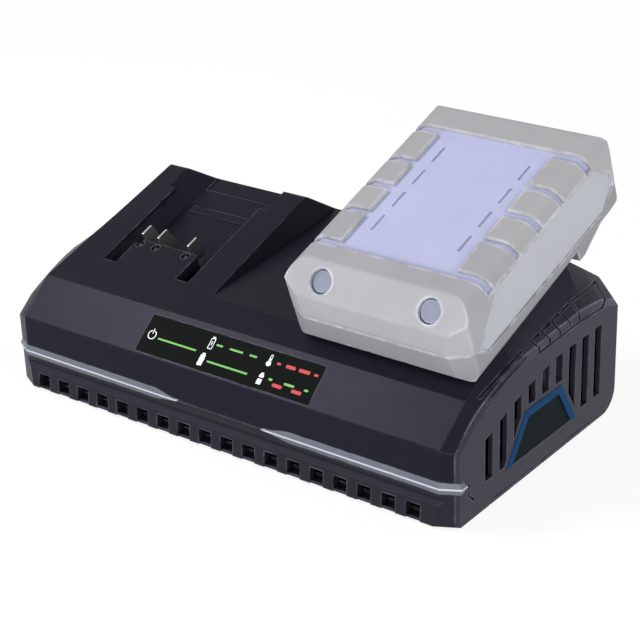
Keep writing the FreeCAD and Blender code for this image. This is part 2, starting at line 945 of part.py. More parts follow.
def transformer_core(x, y):
    """E-core of a switching transformer: two legs and a yoke round the winding."""
    size_x = 26.0
    size_y = 13.0
    height = 22.0
    leg = 5.0
    foot = board_top + 1.5
    core = block(x - size_x / 2, x + size_x / 2, y - size_y / 2, y + size_y / 2, foot, foot + height)
    window = block(x - size_x / 2 + leg, x + size_x / 2 - leg, y - size_y, y + size_y, foot + leg, foot + height - leg)
    return core.cut(window)


def transformer_winding(x, y):
    """Wound bobbin with its base, which stands on the board."""
    leg = 5.0
    foot = board_top + 1.5
    half_x = 13.0 - leg - 0.1
    wound = prism_z(
        [(x - half_x, y - 11), (x + half_x, y - 11), (x + half_x, y + 11), (x - half_x, y + 11)],
        foot + leg + 0.1,
        foot + 22.0 - leg - 0.1,
        [4, 4, 4, 4],
    )
    base = block(x - 12, x + 12, y - 11, y - 7, board_top, foot + leg + 1)
    base_rear = block(x - 12, x + 12, y + 7, y + 11, board_top, foot + leg + 1)
    return join([wound, base, base_rear])


transformer_places = ((-50.0, 50.0), (50.0, 50.0))


def capacitor(x, y, radius, height):
    body = rod(radius, (x, y, board_top), (x, y, board_top + height))
    neck = ring(radius + 1, radius - 0.4, (x, y, board_top + 2.0), (x, y, board_top + 3.0))
    vent = block(x - radius * 0.7, x + radius * 0.7, y - 0.25, y + 0.25, board_top + height - 0.4, board_top + height + 1)
    return body.cut(neck).cut(vent)


def capacitors():
    return Part.makeCompound(
        [
            capacitor(-6, 66, 8.0, 24.0),
            capacitor(14, 72, 6.3, 20.0),
            capacitor(-26, 26, 5.0, 16.0),
            capacitor(26, 26, 5.0, 16.0),
            capacitor(38, 26, 5.0, 16.0),
        ]
    )


def heat_sink(x, y):
    """Extruded heat sink standing on the board, fins facing the vents."""
    base = block(x - 12, x + 12, y - 1.25, y + 1.25, board_top, board_top + 20)
    fins = []
    for i in range(6):
        left = x - 12 + i * (24 - 1.2) / 5
        fins.append(block(left, left + 1.2, y - 7, y, board_top, board_top + 20))
    return join([base] + fins)


def line_filter():
    """Common-mode choke: a wound ring standing on the board beside a box capacitor."""
    radius = 9.3
    y = board_rear - 14
    height = board_top + radius
    return ring(radius, 3.7, (-62, y - 2.8, height), (-62, y + 2.8, height))


def box_capacitor():
    rear = board_rear - 10
    front = rear - 8
    return prism_z([(-50, front), (-36, front), (-36, rear), (-50, rear)], board_top, board_top + 12, [1] * 4)


def fuse():
    """Glass-size fuse with an end cap and a clip at each end."""
    x = -board_half_width + 8
    height = board_top + 3.2
    rear = board_rear - 10
    front = rear - 18
    shapes = [rod(2.6, (x, front, height), (x, rear, height))]
    for start in (front, rear - 4):
        shapes.append(rod(3.0, (x, start, height), (x, start + 4, height)))
        shapes.append(block(x - 1.5, x + 1.5, start + 1, start + 3, board_top, board_top + 2))
    return join(shapes)


def mains_inlet():
    """Two-pole appliance inlet, its open end in the rear wall."""
    rear = housing_depth
    body = block(
        inlet_x - inlet_half, inlet_x + inlet_half, rear - inlet_depth, rear, inlet_low, inlet_high
    )
    flange = prism_y(
        [
            (inlet_x - inlet_half - inlet_flange, inlet_low - inlet_flange),
            (inlet_x + inlet_half + inlet_flange, inlet_low - inlet_flange),
            (inlet_x + inlet_half + inlet_flange, inlet_high + inlet_flange),
            (inlet_x - inlet_half - inlet_flange, inlet_high + inlet_flange),
        ],
        rear,
        rear + inlet_flange_thickness,
        [2, 2, 2, 2],
    )
    legs = block(inlet_x - 8, inlet_x + 8, rear - inlet_depth, board_rear - 0.1, board_top, inlet_low)
    solid = join([body, flange, legs])
    middle = (inlet_low + inlet_high) / 2
    mouth = rear + inlet_flange_thickness + 1
    bottom = rear - inlet_socket_depth + inlet_flange_thickness
    for side in (-1, 1):
        x = inlet_x + side * inlet_socket_offset
        solid = solid.cut(rod(inlet_socket_radius, (x, bottom, middle), (x, mouth, middle)))
    return solid.cut(
        block(
            inlet_x - inlet_socket_offset,
            inlet_x + inlet_socket_offset,
            bottom,
            mouth,
            middle - inlet_socket_radius * 0.8,
            middle + inlet_socket_radius * 0.8,
        )
    )


def inlet_pins():
    rear = housing_depth
    middle = (inlet_low + inlet_high) / 2
    bottom = rear - inlet_socket_depth + inlet_flange_thickness
    return Part.makeCompound(
        [
            rod(
                inlet_pin_radius,
                (inlet_x + side * inlet_pin_offset, bottom, middle),
                (inlet_x + side * inlet_pin_offset, bottom + inlet_pin_length, middle),
            )
            for side in (-1, 1)
        ]
    )


def indicator_board():
    top = -wall - indicator_gap
    board = block(label_left + 1, label_right - 1, label_low + 0.5, label_high - 0.5, top - 1.2, top)
    return on_fascia(board)


indicator_lamps = ((-24.0, 8.4), (3.0, 12.6), (2.5, 5.5), (31.0, 12.6), (31.0, 5.5))


def indicator_leds():
    top = -wall - indicator_gap
    return Part.makeCompound(
        [on_fascia(block(x - 1.7, x + 1.7, v - 1.2, v + 1.2, top, top + 1.5)) for x, v in indicator_lamps]
    )


def fan_centre():
    return V(fan_x - fan_thickness / 2, fan_y, board_top + fan_size / 2)


def fan_frame():
    centre = fan_centre()
    half = fan_size / 2
    x0 = fan_x - fan_thickness
    frame = prism_x(
        [
            (centre.y - half, centre.z - half),
            (centre.y + half, centre.z - half),
            (centre.y + half, centre.z + half),
            (centre.y - half, centre.z + half),
        ],
        x0,
        fan_x,
        [2.5] * 4,
    )
    frame = frame.cut(rod(fan_bore, (x0 - 1, centre.y, centre.z), (fan_x + 1, centre.y, centre.z)))
    seat = rod(fan_hub_radius, (x0, centre.y, centre.z), (x0 + 1.5, centre.y, centre.z))
    arms = []
    for i in range(3):
        arm = block(x0, x0 + 1.2, centre.y - 1, centre.y + 1, centre.z, centre.z + fan_bore + 0.6)
        arm.rotate(centre, V(1, 0, 0), i * 120)
        arms.append(arm)
    pin = rod(fan_pin_radius, (x0, centre.y, centre.z), (fan_x - 2.5, centre.y, centre.z))
    return join([frame, seat, pin] + arms)


def fan_rotor():
    """Hub and pitched blades on the fan's fixed pin."""
    centre = fan_centre()
    x0 = fan_x - fan_thickness + 1.9
    x1 = fan_x - 0.8
    hub = rod(fan_hub_radius, (x0, centre.y, centre.z), (x1, centre.y, centre.z))
    tip = fan_bore - fan_tip_gap
    blades = []
    for i in range(fan_blades):
        blade = block(-3.9, 3.9, -0.5, 0.5, fan_hub_radius - 1.5, tip + 1)
        blade.rotate(V(0, 0, 0), V(0, 0, 1), fan_blade_pitch)
        blade.translate(V((x0 + x1) / 2, centre.y, centre.z))
        blade.rotate(centre, V(1, 0, 0), i * 360 / fan_blades)
        blades.append(blade)
    reach = rod(tip, (x0, centre.y, centre.z), (x1, centre.y, centre.z))
    solid = join([hub] + blades).common(reach)
    return solid.cut(
        rod(fan_pin_radius + fan_pin_gap, (x0 - 1, centre.y, centre.z), (x1 - 1.2, centre.y, centre.z))
    )


# Battery
pack_rear_slope = 5.5        # how far the top is set back from the rear face
pack_front_slope_foot = 22.0
pack_front_slope_reach = 9.8
pack_corner_front_set = 8.5
pack_corner_front_run = 4.5
pack_corner_rear = 6.0
pack_shell = 2.1
heel_front = 83.2
heel_flat = 88.0
heel_depth = 6.0
seam_front = 12.0
seam_side_front = 7.4
seam_side_rear = 5.1
seam_rear = 11.0


def inset_outline(outline, distance):
    """Moves every edge of an anticlockwise outline inwards by the same distance."""
    lines = []
    count = len(outline)
    for i in range(count):
        ax, ay = outline[i]
        bx, by = outline[(i + 1) % count]
        length = math.hypot(bx - ax, by - ay)
        nx = -(by - ay) / length
        ny = (bx - ax) / length
        lines.append((nx, ny, nx * ax + ny * ay + distance))
    moved = []
    for i in range(count):
        a1, b1, c1 = lines[i - 1]
        a2, b2, c2 = lines[i]
        det = a1 * b2 - a2 * b1
        moved.append(((c1 * b2 - c2 * b1) / det, (a1 * c2 - a2 * c1) / det))
    return moved


@functools.lru_cache(maxsize=None)
def pack_form(inset):
    """The battery's rounded body without its foot, with every face moved inwards by inset."""
    profile = [
        (pack_front + 2.9, pack_gap),
        (pack_rear - 10, pack_gap),
        (pack_rear - 1, 8),
        (pack_rear, 18),
        (pack_rear - pack_rear_slope, pack_top),
        (pack_front + 1 + pack_front_slope_reach, pack_top),
        (pack_front + 1, pack_front_slope_foot),
        (pack_front, 14),
        (pack_front + 0.6, 3),
    ]
    section = [
        (-pack_half_width + 1.4, pack_gap),
        (pack_half_width - 1.4, pack_gap),
        (pack_half_width, 3),
        (pack_half_width, pack_top),
        (-pack_half_width, pack_top),
        (-pack_half_width, 3),
    ]
    front_x = pack_half_width - pack_corner_front_set
    front_y = pack_front + pack_corner_front_run
    rear_x = pack_half_width - pack_corner_rear
    rear_y = pack_rear - pack_corner_rear
    plan = [
        (-front_x, pack_front),
        (front_x, pack_front),
        (pack_half_width, front_y),
        (pack_half_width, rear_y),
        (rear_x, pack_rear),
        (-rear_x, pack_rear),
        (-pack_half_width, rear_y),
        (-pack_half_width, front_y),
    ]
    soft = max(0.4, 3 - inset)
    body = prism_x(inset_outline(profile, inset), -60, 60, [0.5, 2, 3, soft + 2, soft, soft, soft, 2, 1])
    edge = pack_edge_radius - inset
    body = body.common(prism_y(inset_outline(section, inset), -20, 140, [0.5, 0.5, 1, edge, edge, 1]))
    return body.common(prism_z(inset_outline(plan, inset), -20, 60, [1.5] * 8))


def below_seam():
    """Everything under the line where the battery's two shells meet."""
    return prism_x(
        [
            (-20, -40),
            (160, -40),
            (160, seam_rear),
            (109, seam_rear),
            (101, seam_side_rear),
            (18, seam_side_front),
            (11.5, seam_front),
            (-20, seam_front),
        ],
        -60,
        60,
    )


def grip_comb(depth):
    """Openings in the overmould: the middle panel and the grooves between the grips."""
    low = pack_top - depth
    cuts = [block(-grip_inner, grip_inner, comb_front, comb_rear, low, pack_top + 5)]
    edges = [comb_front]
    for start, end in grip_rows:
        edges += [start, end]
    edges.append(comb_rear)
    for i in range(0, len(edges), 2):
        cuts.append(block(-pack_half_width - 5, pack_half_width + 5, edges[i], edges[i + 1], low, pack_top + 5))
    return join(cuts)


def side_windows():
    """Openings in the overmould for the plates on both sides of the battery."""
    outline = [
        (30.5, window_top),
        (14.3, 11.6),
        (18, seam_side_front),
        (101, seam_side_rear),
        (109, seam_rear),
        (109, 17),
        (95.5, window_top),
    ]
    right = prism_x(outline, pack_half_width - 5, pack_half_width + 5, [1, 1, 1, 1, 2, 3, 2])
    return right, mirrored(right)


window_top = 26.0


def plug_point(side, depth):
    """Point on a plug's axis, that far below the battery's sloped front."""
    rise = pack_top - pack_front_slope_foot
    slope_length = math.hypot(rise, pack_front_slope_reach)
    face_place = pack_front + 1 + (plug_height - pack_front_slope_foot) / rise * pack_front_slope_reach
    back_way = rise / slope_length
    down_way = pack_front_slope_reach / slope_length
    return (side * plug_spacing / 2, face_place + depth * back_way, plug_height - depth * down_way)


def plug_rods(radius, start, end):
    """Rods square to the battery's sloped front, from one depth below it to another."""
    return join([rod(radius, plug_point(side, start), plug_point(side, end)) for side in (-1, 1)])


plug_face = 1.3              # the plugs' depth below the sloped front
plug_back = 4.4
boss_radius = plug_hole_radius + 1.4
boss_back = plug_back + 0.9
dish_radius = 14.0
dish_depth = 0.5


def pack_overmould():
    solid = pack_form(0).cut(pack_form(overmould)).cut(below_seam())
    solid = solid.cut(grip_comb(pack_top - window_top))
    for window in side_windows():
        solid = solid.cut(window)
    return solid.cut(plug_rods(plug_hole_radius, -6, plug_back))


def split_overmould(solid):
    """Front cap, rear cap and the loose grip pads of each side."""
    front = []
    rear = []
    left = []
    right = []
    for piece in solid.Solids:
        if piece.Volume < 1:
            continue
        middle = piece.CenterOfMass
        if middle.y < comb_front:
            front.append(piece)
        elif middle.y > comb_rear:
            rear.append(piece)
        elif middle.x < 0:
            left.append(piece)
        else:
            right.append(piece)
    return front, rear, left, right


# Two rows of slots on the battery's middle panel
dash_count = 4
dash_first = 38.9
dash_pitch = 13.9
dash_length = 8.9
dash_width = 1.1
dash_depth = 0.7
dash_place = 18.5


def pack_upper_shell():
    shell = pack_form(overmould).cut(pack_form(overmould + pack_shell)).cut(below_seam())
    bosses = plug_rods(boss_radius, 0, boss_back).common(pack_form(overmould))
    solid = join([shell, bosses]).cut(plug_rods(plug_hole_radius, -6, plug_back))
    top = pack_top - overmould
    for i in range(dash_count):
        start = dash_first + i * dash_pitch
        for x in (-dash_place, dash_place):
            half = dash_width / 2
            solid = solid.cut(block(x - half, x + half, start, start + dash_length, top - dash_depth, top + 1))
    return solid.cut(button_opening())


def pack_side_plates():
    ring = pack_form(overmould - window_depth).cut(pack_form(overmould))
    right, left = side_windows()
    return ring.common(left), ring.common(right)


def foot_profile(low):
    """Half section of the battery's foot: a neck between the lips and a flange below them."""
    neck = lip_half - foot_gap
    flange_top = lip_thickness + 0.35
    lean = foot_gap * 1.3
    return neck, flange_top, trough_half(flange_top) - lean, trough_half(low) - lean


def foot_section(y0, y1, low):
    neck, flange_top, wide, narrow = foot_profile(low)
    top = pack_gap + 0.5
    outline = [
        (-narrow, -low),
        (narrow, -low),
        (wide, -flange_top),
        (neck, -flange_top),
        (neck, top),
        (-neck, top),
        (-neck, -flange_top),
        (-wide, -flange_top),
    ]
    return prism_y(outline, y0, y1)


foot_low = trough_depth - foot_bottom_gap
terminal_front = tongue_rear + 0.7
terminal_rear = 43.3
terminal_half = 14.8
blade_slot = 2.0


def pack_lower_shell():
    shell = pack_form(0).cut(pack_form(pack_wall)).common(below_seam())
    foot = foot_section(foot_front, heel_front + 1, foot_low)
    heel = prism_x(
        [
            (heel_front, pack_gap + 0.5),
            (heel_front + 0.8, -heel_depth),
            (heel_flat, -heel_depth),
            (pack_rear - 11, pack_gap),
            (pack_rear - 10.5, pack_gap + 0.5),
        ],
        -pack_half_width + 2.5,
        pack_half_width - 2.5,
    )
    roof = block(-terminal_half, terminal_half, pack_front + 3, terminal_front, pack_gap, blade_height + 2.2)
    roof = roof.common(pack_form(0))
    rib = block(-12, 12, spring_wall - 0.8, spring_wall, pack_gap + pack_wall - 0.2, button_middle + 3)
    solid = join([shell, foot, heel, roof, rib])
    solid = solid.cut(block(-tongue_half - 0.35, tongue_half + 0.35, 0, terminal_rear, -20, pack_gap))
    solid = solid.cut(block(-terminal_half, terminal_half, terminal_front, terminal_rear, -20, 8))
    hollow = block(-15.5, 15.5, terminal_rear + 2.2, heel_front - 2, -foot_low + 2.2, pack_gap + 4)
    heel_hollow = prism_x(
        [
            (heel_front + 3, pack_gap + 4),
            (heel_front + 3, -heel_depth + 2.2),
            (heel_flat, -heel_depth + 2.2),
            (pack_rear - 15, pack_gap + 1.6),
            (pack_rear - 15, pack_gap + 4),
        ],
        -pack_half_width + 5,
        pack_half_width - 5,
    )
    solid = solid.cut(hollow).cut(heel_hollow)
    for x in blade_places:
        solid = solid.cut(
            block(x - blade_slot / 2, x + blade_slot / 2, -5, terminal_front + 1, -20, blade_height + 0.5)
        )
    return solid.cut(button_opening())


def pack_terminal_block():
    solid = block(-terminal_half, terminal_half, terminal_front, terminal_rear, -foot_low, 5.2)
    for x in blade_places:
        solid = solid.cut(
            block(x - 1.3, x + 1.3, terminal_front - 1, blade_low_end + 1.4, -foot_low - 1, blade_height + 0.6)
        )
    return solid


def pack_terminals():
    """Sprung clip for each blade: two leaves joined at the back."""
    clips = []
    for x in blade_places:
        outer = block(x - 1.3, x + 1.3, terminal_front + 0.6, blade_low_end + 1.4, -6.0, 2.4)
        inner = block(x - 1.0, x + 1.0, terminal_front - 1, blade_low_end + 1.1, -7.0, 3.4)
        clips.append(outer.cut(inner))
    return Part.makeCompound(clips)


def pack_plugs():
    """Round plugs over the two case screws in the battery's front."""
    plugs = []
    for side in (-1, 1):
        plug = rod(plug_radius, plug_point(side, plug_face), plug_point(side, plug_back))
        dish = Part.makeSphere(dish_radius, V(*plug_point(side, plug_face + dish_depth - dish_radius)))
        plugs.append(plug.cut(dish))
    return Part.makeCompound(plugs)


cell_height = pack_gap + pack_wall + 3.0 + cell_radius
cell_places = [cell_first + i * cell_pitch for i in range(cell_count)]
holder_inner = cell_length / 2 - 5
holder_outer = cell_length / 2
spring_wall = cell_places[-1] + cell_radius + 0.9


def battery_cells():
    cells = []
    for i in range(cell_count):
        y = cell_places[i]
        cell = rod(cell_radius, (-cell_length / 2, y, cell_height), (cell_length / 2, y, cell_height))
        start = cell_length / 2 - 4.4
        groove = ring(cell_radius + 1, cell_radius - 0.4, (start, y, cell_height), (start + 0.8, y, cell_height))
        cells.append(cell.cut(groove))
    return Part.makeCompound(cells)


def cell_holder():
    solid = block(
        holder_inner,
        holder_outer,
        cell_places[0] - cell_radius + 0.6,
        cell_places[-1] + cell_radius - 0.6,
        pack_gap + pack_wall,
        cell_height + cell_radius + 1.0,
    )
    for y in cell_places:
        solid = solid.cut(rod(cell_radius + 0.1, (0, y, cell_height), (holder_outer + 1, y, cell_height)))
    shell = pack_form(overmould).cut(pack_form(overmould + pack_shell))
    solid = solid.cut(plug_rods(boss_radius + 0.3, 0, boss_back + 0.3))
    return solid.common(pack_form(pack_wall)).cut(shell)


def cell_links(side):
    """Nickel strips that join the cells in series on one side."""
    strips = []
    start = 0 if side < 0 else 1
    for i in range(start, cell_count, 2):
        y0 = cell_places[i] - 4
        y1 = cell_places[min(i + 1, cell_count - 1)] + 4
        strips.append(block(cell_length / 2, cell_length / 2 + 0.25, y0, y1, cell_height - 3.5, cell_height + 3.5))
    if side > 0:
        y = cell_places[0]
        strips.append(block(cell_length / 2, cell_length / 2 + 0.25, y - 4, y + 4, cell_height - 3.5, cell_height + 3.5))
    both = Part.makeCompound(strips)
    return both if side > 0 else mirrored(both)


def pack_board():
    low = cell_height + cell_radius + 1.0
    return block(-holder_inner - 2.5, holder_inner + 2.5, 30, 98, low, low + 1.2)


def button_opening():
    """Slot for the release button through the battery's rear wall."""
    return block(
        -button_half - 0.3,
        button_half + 0.3,
        pack_rear - 9,
        pack_rear + 5,
        button_middle - button_height / 2 - 0.3,
        button_middle + button_height / 2 + 0.3,
    )


button_front = 4.4           # how deep the button reaches behind the battery's rear face
button_proud = 1.2


def release_button():
    """Push button in the rear face, with a cross groove row for the thumb."""
    low = button_middle - button_height / 2
    high = button_middle + button_height / 2
    front = pack_rear - button_front
    back = pack_rear + button_proud
    face = prism_z(
        [(-button_half, front), (button_half, front), (button_half, back), (-button_half, back)],
        low,
        high,
        [0, 0, 1.5, 1.5],
    )
    for i in range(3):
        height = button_middle + (i - 1) * 2.2
        face = face.cut(block(-button_half + 3, button_half - 3, back - 0.6, back + 1, height - 0.5, height + 0.5))
    collar = block(-button_half - 2, button_half + 2, front - 1.6, front, low, high)
    return join([face, collar])


def button_spring():
    """Bowed leaf between the button's collar and the cell holders' rear wall."""
    back = pack_rear - button_front - 1.6
    front = spring_wall
    thick = 0.3
    return prism_z(
        [
            (-9, front),
            (-6, front),
            (0, back - thick),
            (6, front),
            (9, front),
            (9, front + thick),
            (6.1, front + thick),
            (0, back),
            (-6.1, front + thick),
            (-9, front + thick),
        ],
        button_middle - 2.5,
        button_middle + 2.5,
    )


pieces = {}
pieces["upper_housing"] = upper_housing()
pieces["lower_housing"] = lower_housing()
pieces["right_side_panel"] = right_side_panel()
pieces["left_side_panel"] = mirrored(pieces["right_side_panel"])
pieces["right_badge_frame"] = right_badge_frame()
pieces["left_badge_frame"] = mirrored(right_badge_frame())
pieces["right_badge_plate"] = right_badge_plate()
pieces["left_badge_plate"] = mirrored(right_badge_plate())
pieces["left_light_strip"], pieces["right_light_strip"] = light_strips()
pieces["indicator_panel"] = indicator_panel()
pieces["indicator_board"] = indicator_board()
pieces["indicator_leds"] = indicator_leds()
for name, side in (("left", -1), ("right", 1)):
    pieces[name + "_contact_block"] = in_bay(contact_block_shape(), side)
    pieces[name + "_blades"] = in_bay(Part.makeCompound([blade_shape(x) for x in blade_places]), side)
    pieces[name + "_contact_pins"] = in_bay(Part.makeCompound([contact_pin(x) for x in blade_places]), side)
    x, y = transformer_places[0 if side < 0 else 1]
    pieces[name + "_transformer_core"] = transformer_core(x, y)
    pieces[name + "_transformer_winding"] = transformer_winding(x, y)
pieces["main_board"] = main_board()
pieces["board_screws"] = board_screws()
pieces["housing_screws"] = housing_screws()
pieces["rubber_feet"] = rubber_feet()
pieces["capacitors"] = capacitors()
pieces["heat_sinks"] = Part.makeCompound([heat_sink(-12, 40), heat_sink(16, 40)])
pieces["line_filter_choke"] = line_filter()
pieces["box_capacitor"] = box_capacitor()
pieces["fuse"] = fuse()
pieces["mains_inlet"] = mains_inlet()
pieces["inlet_pins"] = inlet_pins()
pieces["fan_frame"] = fan_frame()
pieces["fan_rotor"] = fan_rotor()

front_cap, rear_cap, left_grips, right_grips = split_overmould(pack_overmould())
plates = pack_side_plates()
pack = {}
pack["pack_upper_shell"] = pack_upper_shell()
pack["pack_lower_shell"] = pack_lower_shell()
pack["pack_front_cap"] = Part.makeCompound(front_cap)
pack["pack_rear_cap"] = Part.makeCompound(rear_cap).cut(button_opening())
pack["pack_left_grips"] = Part.makeCompound(left_grips)
pack["pack_right_grips"] = Part.makeCompound(right_grips)
pack["pack_left_side_plate"], pack["pack_right_side_plate"] = plates
pack["pack_screw_plugs"] = pack_plugs()
pack["pack_terminal_block"] = pack_terminal_block()
pack["pack_terminals"] = pack_terminals()
pack["battery_cells"] = battery_cells()
pack["right_cell_holder"] = cell_holder()
pack["left_cell_holder"] = mirrored(cell_holder())
pack["right_cell_links"] = cell_links(1)
pack["left_cell_links"] = cell_links(-1)
pack["pack_board"] = pack_board()
pack["release_button"] = release_button()
pack["button_spring"] = button_spring()
for name, shape in pack.items():
    pieces[name] = in_bay(shape, 1)

everything = Part.makeCompound(list(pieces.values()))
bounds = everything.optimalBoundingBox(False, False)
shift = V(-bounds.Center.x, -bounds.Center.y, -bounds.ZMin)


def placed_at(point):
    """Place of a point in the written files, in metres."""
    moved = point + shift
    return [round(moved.x / 1000, 6), round(moved.y / 1000, 6), round(moved.z / 1000, 6)]


for name, shape in pieces.items():
    shape.translate(shift)
    print(name, len(shape.Solids), round(shape.Volume, 1), shape.isValid())
    shape.exportStep("parts/" + name + ".step")

slide_way = V(0, math.cos(tilt), math.sin(tilt))
print("shift", shift)
print("size", bounds.XLength, bounds.YLength, bounds.ZLength)
print("slide axis", slide_way, "travel", pack_travel)
print("button travel", button_travel)
print("fan axis", placed_at(fan_centre()))
print("rest face", placed_at(V(rubber_feet_places[0][0], rubber_feet_places[0][1], -foot_stand)))
for side in (-1, 1):
    middle = in_bay(Part.Vertex(0, 0, 0), side)
    print("bay", side, placed_at(middle.Point))
print("mains inlet", placed_at(V(inlet_x, housing_depth, (inlet_low + inlet_high) / 2)))
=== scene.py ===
# %% [markdown]
# # Twin-bay charger with one battery docked
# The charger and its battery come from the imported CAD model, which is loaded as a fixed frame.
# This lesson gives its surfaces their finishes, adds the printed marks and the inlays that the
# solids leave plain, and sets up the studio and the camera.

# %% Load the frame
import json
import math

import bpy
from mathutils import Matrix, Vector


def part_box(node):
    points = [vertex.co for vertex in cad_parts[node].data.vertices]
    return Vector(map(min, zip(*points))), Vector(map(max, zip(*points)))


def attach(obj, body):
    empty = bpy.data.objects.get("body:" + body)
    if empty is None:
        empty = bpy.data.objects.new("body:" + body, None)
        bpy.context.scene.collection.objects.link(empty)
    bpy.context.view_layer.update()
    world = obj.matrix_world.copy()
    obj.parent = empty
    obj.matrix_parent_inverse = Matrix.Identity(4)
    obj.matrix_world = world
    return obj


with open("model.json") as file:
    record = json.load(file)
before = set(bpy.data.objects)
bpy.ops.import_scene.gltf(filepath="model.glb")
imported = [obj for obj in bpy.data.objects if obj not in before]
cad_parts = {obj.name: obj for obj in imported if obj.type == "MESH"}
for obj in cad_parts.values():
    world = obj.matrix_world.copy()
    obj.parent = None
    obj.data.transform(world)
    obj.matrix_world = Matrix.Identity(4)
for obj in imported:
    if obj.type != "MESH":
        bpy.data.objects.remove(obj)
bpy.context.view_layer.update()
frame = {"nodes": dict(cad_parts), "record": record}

nodes = frame["nodes"]

# %% [markdown]
# A few sizes of the object are needed again and again: the slope of the decks, the slope of
# the fascia with the indicator label, and where each starts. The front's place is read off
# the upper housing, so that it follows the model. The others are the CAD's own sizes, in
# metres, and heights count from the underside of the housing, which stands on its feet.

# %% Places on the object
MM = 0.001
FOOT_HEIGHT = 1.2 * MM
FRONT_TOP = 29.5 * MM
DECK_FOOT = 42.3 * MM
DECK_TILT = math.radians(19.2)
FASCIA_RUN = 15.2 * MM
BAY_OFFSET = 60.3 * MM

front_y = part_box("upper_housing")[0].y
fascia_tilt = math.atan2(DECK_FOOT - FRONT_TOP, FASCIA_RUN)
deck_start = Vector((0, front_y + FASCIA_RUN, DECK_FOOT + FOOT_HEIGHT))
print("fascia slope", round(math.degrees(fascia_tilt), 2), "front at", round(front_y, 4))


def in_bay(x, up, out, side=1):
    """Point in the row frame from bay coordinates: across, up the deck and out of it."""
    y = up * math.cos(DECK_TILT) - out * math.sin(DECK_TILT)
    z = up * math.sin(DECK_TILT) + out * math.cos(DECK_TILT)
    return deck_start + Vector((x + side * BAY_OFFSET, y, z))


# %% [markdown]
# Operators act on whatever is selected, and the loaded nodes start out selected, so each new
# piece begins with an empty selection. Three more helpers save typing: one selects just the
# pieces that the next operator is meant for, and two go into edit mode and out of it.

# %% Helpers for modelling
def deselect():
    bpy.ops.object.select_all(action="DESELECT")


def only(*pieces):
    """Selects these pieces alone, with the first one active."""
    deselect()
    for piece in pieces:
        piece.select_set(True)
    bpy.context.view_layer.objects.active = pieces[0]


def edit_all():
    bpy.ops.object.mode_set(mode="EDIT")
    bpy.ops.mesh.select_all(action="SELECT")


def leave_edit():
    bpy.ops.object.mode_set(mode="OBJECT")


deselect()
print("selected:", len(bpy.context.selected_objects))

# %% [markdown]
# Finishes are built from a few kinds of node over and over: a sum, a noise, a mix of two
# colours, a group with its values. Each gets a helper that adds the node, sets or links its
# inputs and gives back the output. A plain number is set on the socket, and a socket of
# another node is linked to it.

# %% Helpers for materials
def feed(tree, value, socket):
    """Sets a number or a colour on a socket, or links another node's output to it."""
    if isinstance(value, bpy.types.NodeSocket):
        tree.links.new(value, socket)
    else:
        socket.default_value = (*value, 1) if isinstance(value, tuple) else value


def math_node(tree, operation, first, second=None, clamp=False):
    node = tree.nodes.new("ShaderNodeMath")
    node.operation = operation
    node.use_clamp = clamp
    feed(tree, first, node.inputs[0])
    if second is not None:
        feed(tree, second, node.inputs[1])
    return node.outputs[0]


def noise_node(tree, scale, detail, rough):
    """Noise over the piece's own Object coordinates, so it stays put when the piece moves."""
    place = tree.nodes.new("ShaderNodeTexCoord").outputs["Object"]
    node = tree.nodes.new("ShaderNodeTexNoise")
    tree.links.new(place, node.inputs["Vector"])
    feed(tree, scale, node.inputs["Scale"])
    feed(tree, detail, node.inputs["Detail"])
    feed(tree, rough, node.inputs["Roughness"])
    return node.outputs["Fac"]


def mix_color(tree, factor, first, second):
    node = tree.nodes.new("ShaderNodeMix")
    node.data_type = "RGBA"
    feed(tree, factor, node.inputs["Factor"])
    feed(tree, first, node.inputs["A"])
    feed(tree, second, node.inputs["B"])
    return node.outputs["Result"]


def new_group(name, inputs, outputs):
    """A node group with named number inputs and outputs, and its two end nodes."""
    group = bpy.data.node_groups.new(name, "ShaderNodeTree")
    for label, default in inputs.items():
        socket = group.interface.new_socket(label, in_out="INPUT", socket_type="NodeSocketFloat")
        socket.default_value = default
    for label in outputs:
        group.interface.new_socket(label, in_out="OUTPUT", socket_type="NodeSocketFloat")
    start = group.nodes.new("NodeGroupInput")
    end = group.nodes.new("NodeGroupOutput")
    return group, start.outputs, end.inputs


def group_node(tree, group, **values):
    node = tree.nodes.new("ShaderNodeGroup")
    node.node_tree = group
    for label, value in values.items():
        node.inputs[label].default_value = value
    return node.outputs


# %% [markdown]
# Moulded plastic is never flat. The tool's cavity is spark-eroded, which leaves a fine grain,
# and cooling leaves broad, faint changes of shine. A photograph of a real grain would do too,
# but two noises need no picture and work at any size: the fine one gives the bump its height,
# and the coarse one moves the roughness and the shade a little. Both go into one group that
# every plastic uses with its own values.

# %% Moulded grain
COARSE_SHARE = 0.03
SHADE_SWING = 0.5
MIDDLE_GREY = 0.5


def make_grain_group():
    """Spark-eroded grain: a height for the bump and a small change of roughness and shade."""
    group, given, result = new_group(
        "moulded_grain",
        {"Scale": 1800.0, "Rough": 0.5, "Spread": 0.08},
        ("Height", "Roughness", "Shade"),
    )
    fine = noise_node(group, given["Scale"], detail=3.0, rough=0.6)
    coarse_scale = math_node(group, "MULTIPLY", given["Scale"], COARSE_SHARE)
    coarse = noise_node(group, coarse_scale, detail=4.0, rough=0.6)
    centred = math_node(group, "SUBTRACT", coarse, MIDDLE_GREY)
    spread = math_node(group, "MULTIPLY", centred, given["Spread"])
    rough = math_node(group, "ADD", spread, given["Rough"], clamp=True)
    swing = math_node(group, "MULTIPLY", centred, SHADE_SWING)
    shade_mask = math_node(group, "ADD", swing, MIDDLE_GREY, clamp=True)
    group.links.new(fine, result["Height"])
    group.links.new(rough, result["Roughness"])
    group.links.new(shade_mask, result["Shade"])
    return group


grain_group = make_grain_group()
print("group", grain_group.name, "nodes", len(grain_group.nodes))

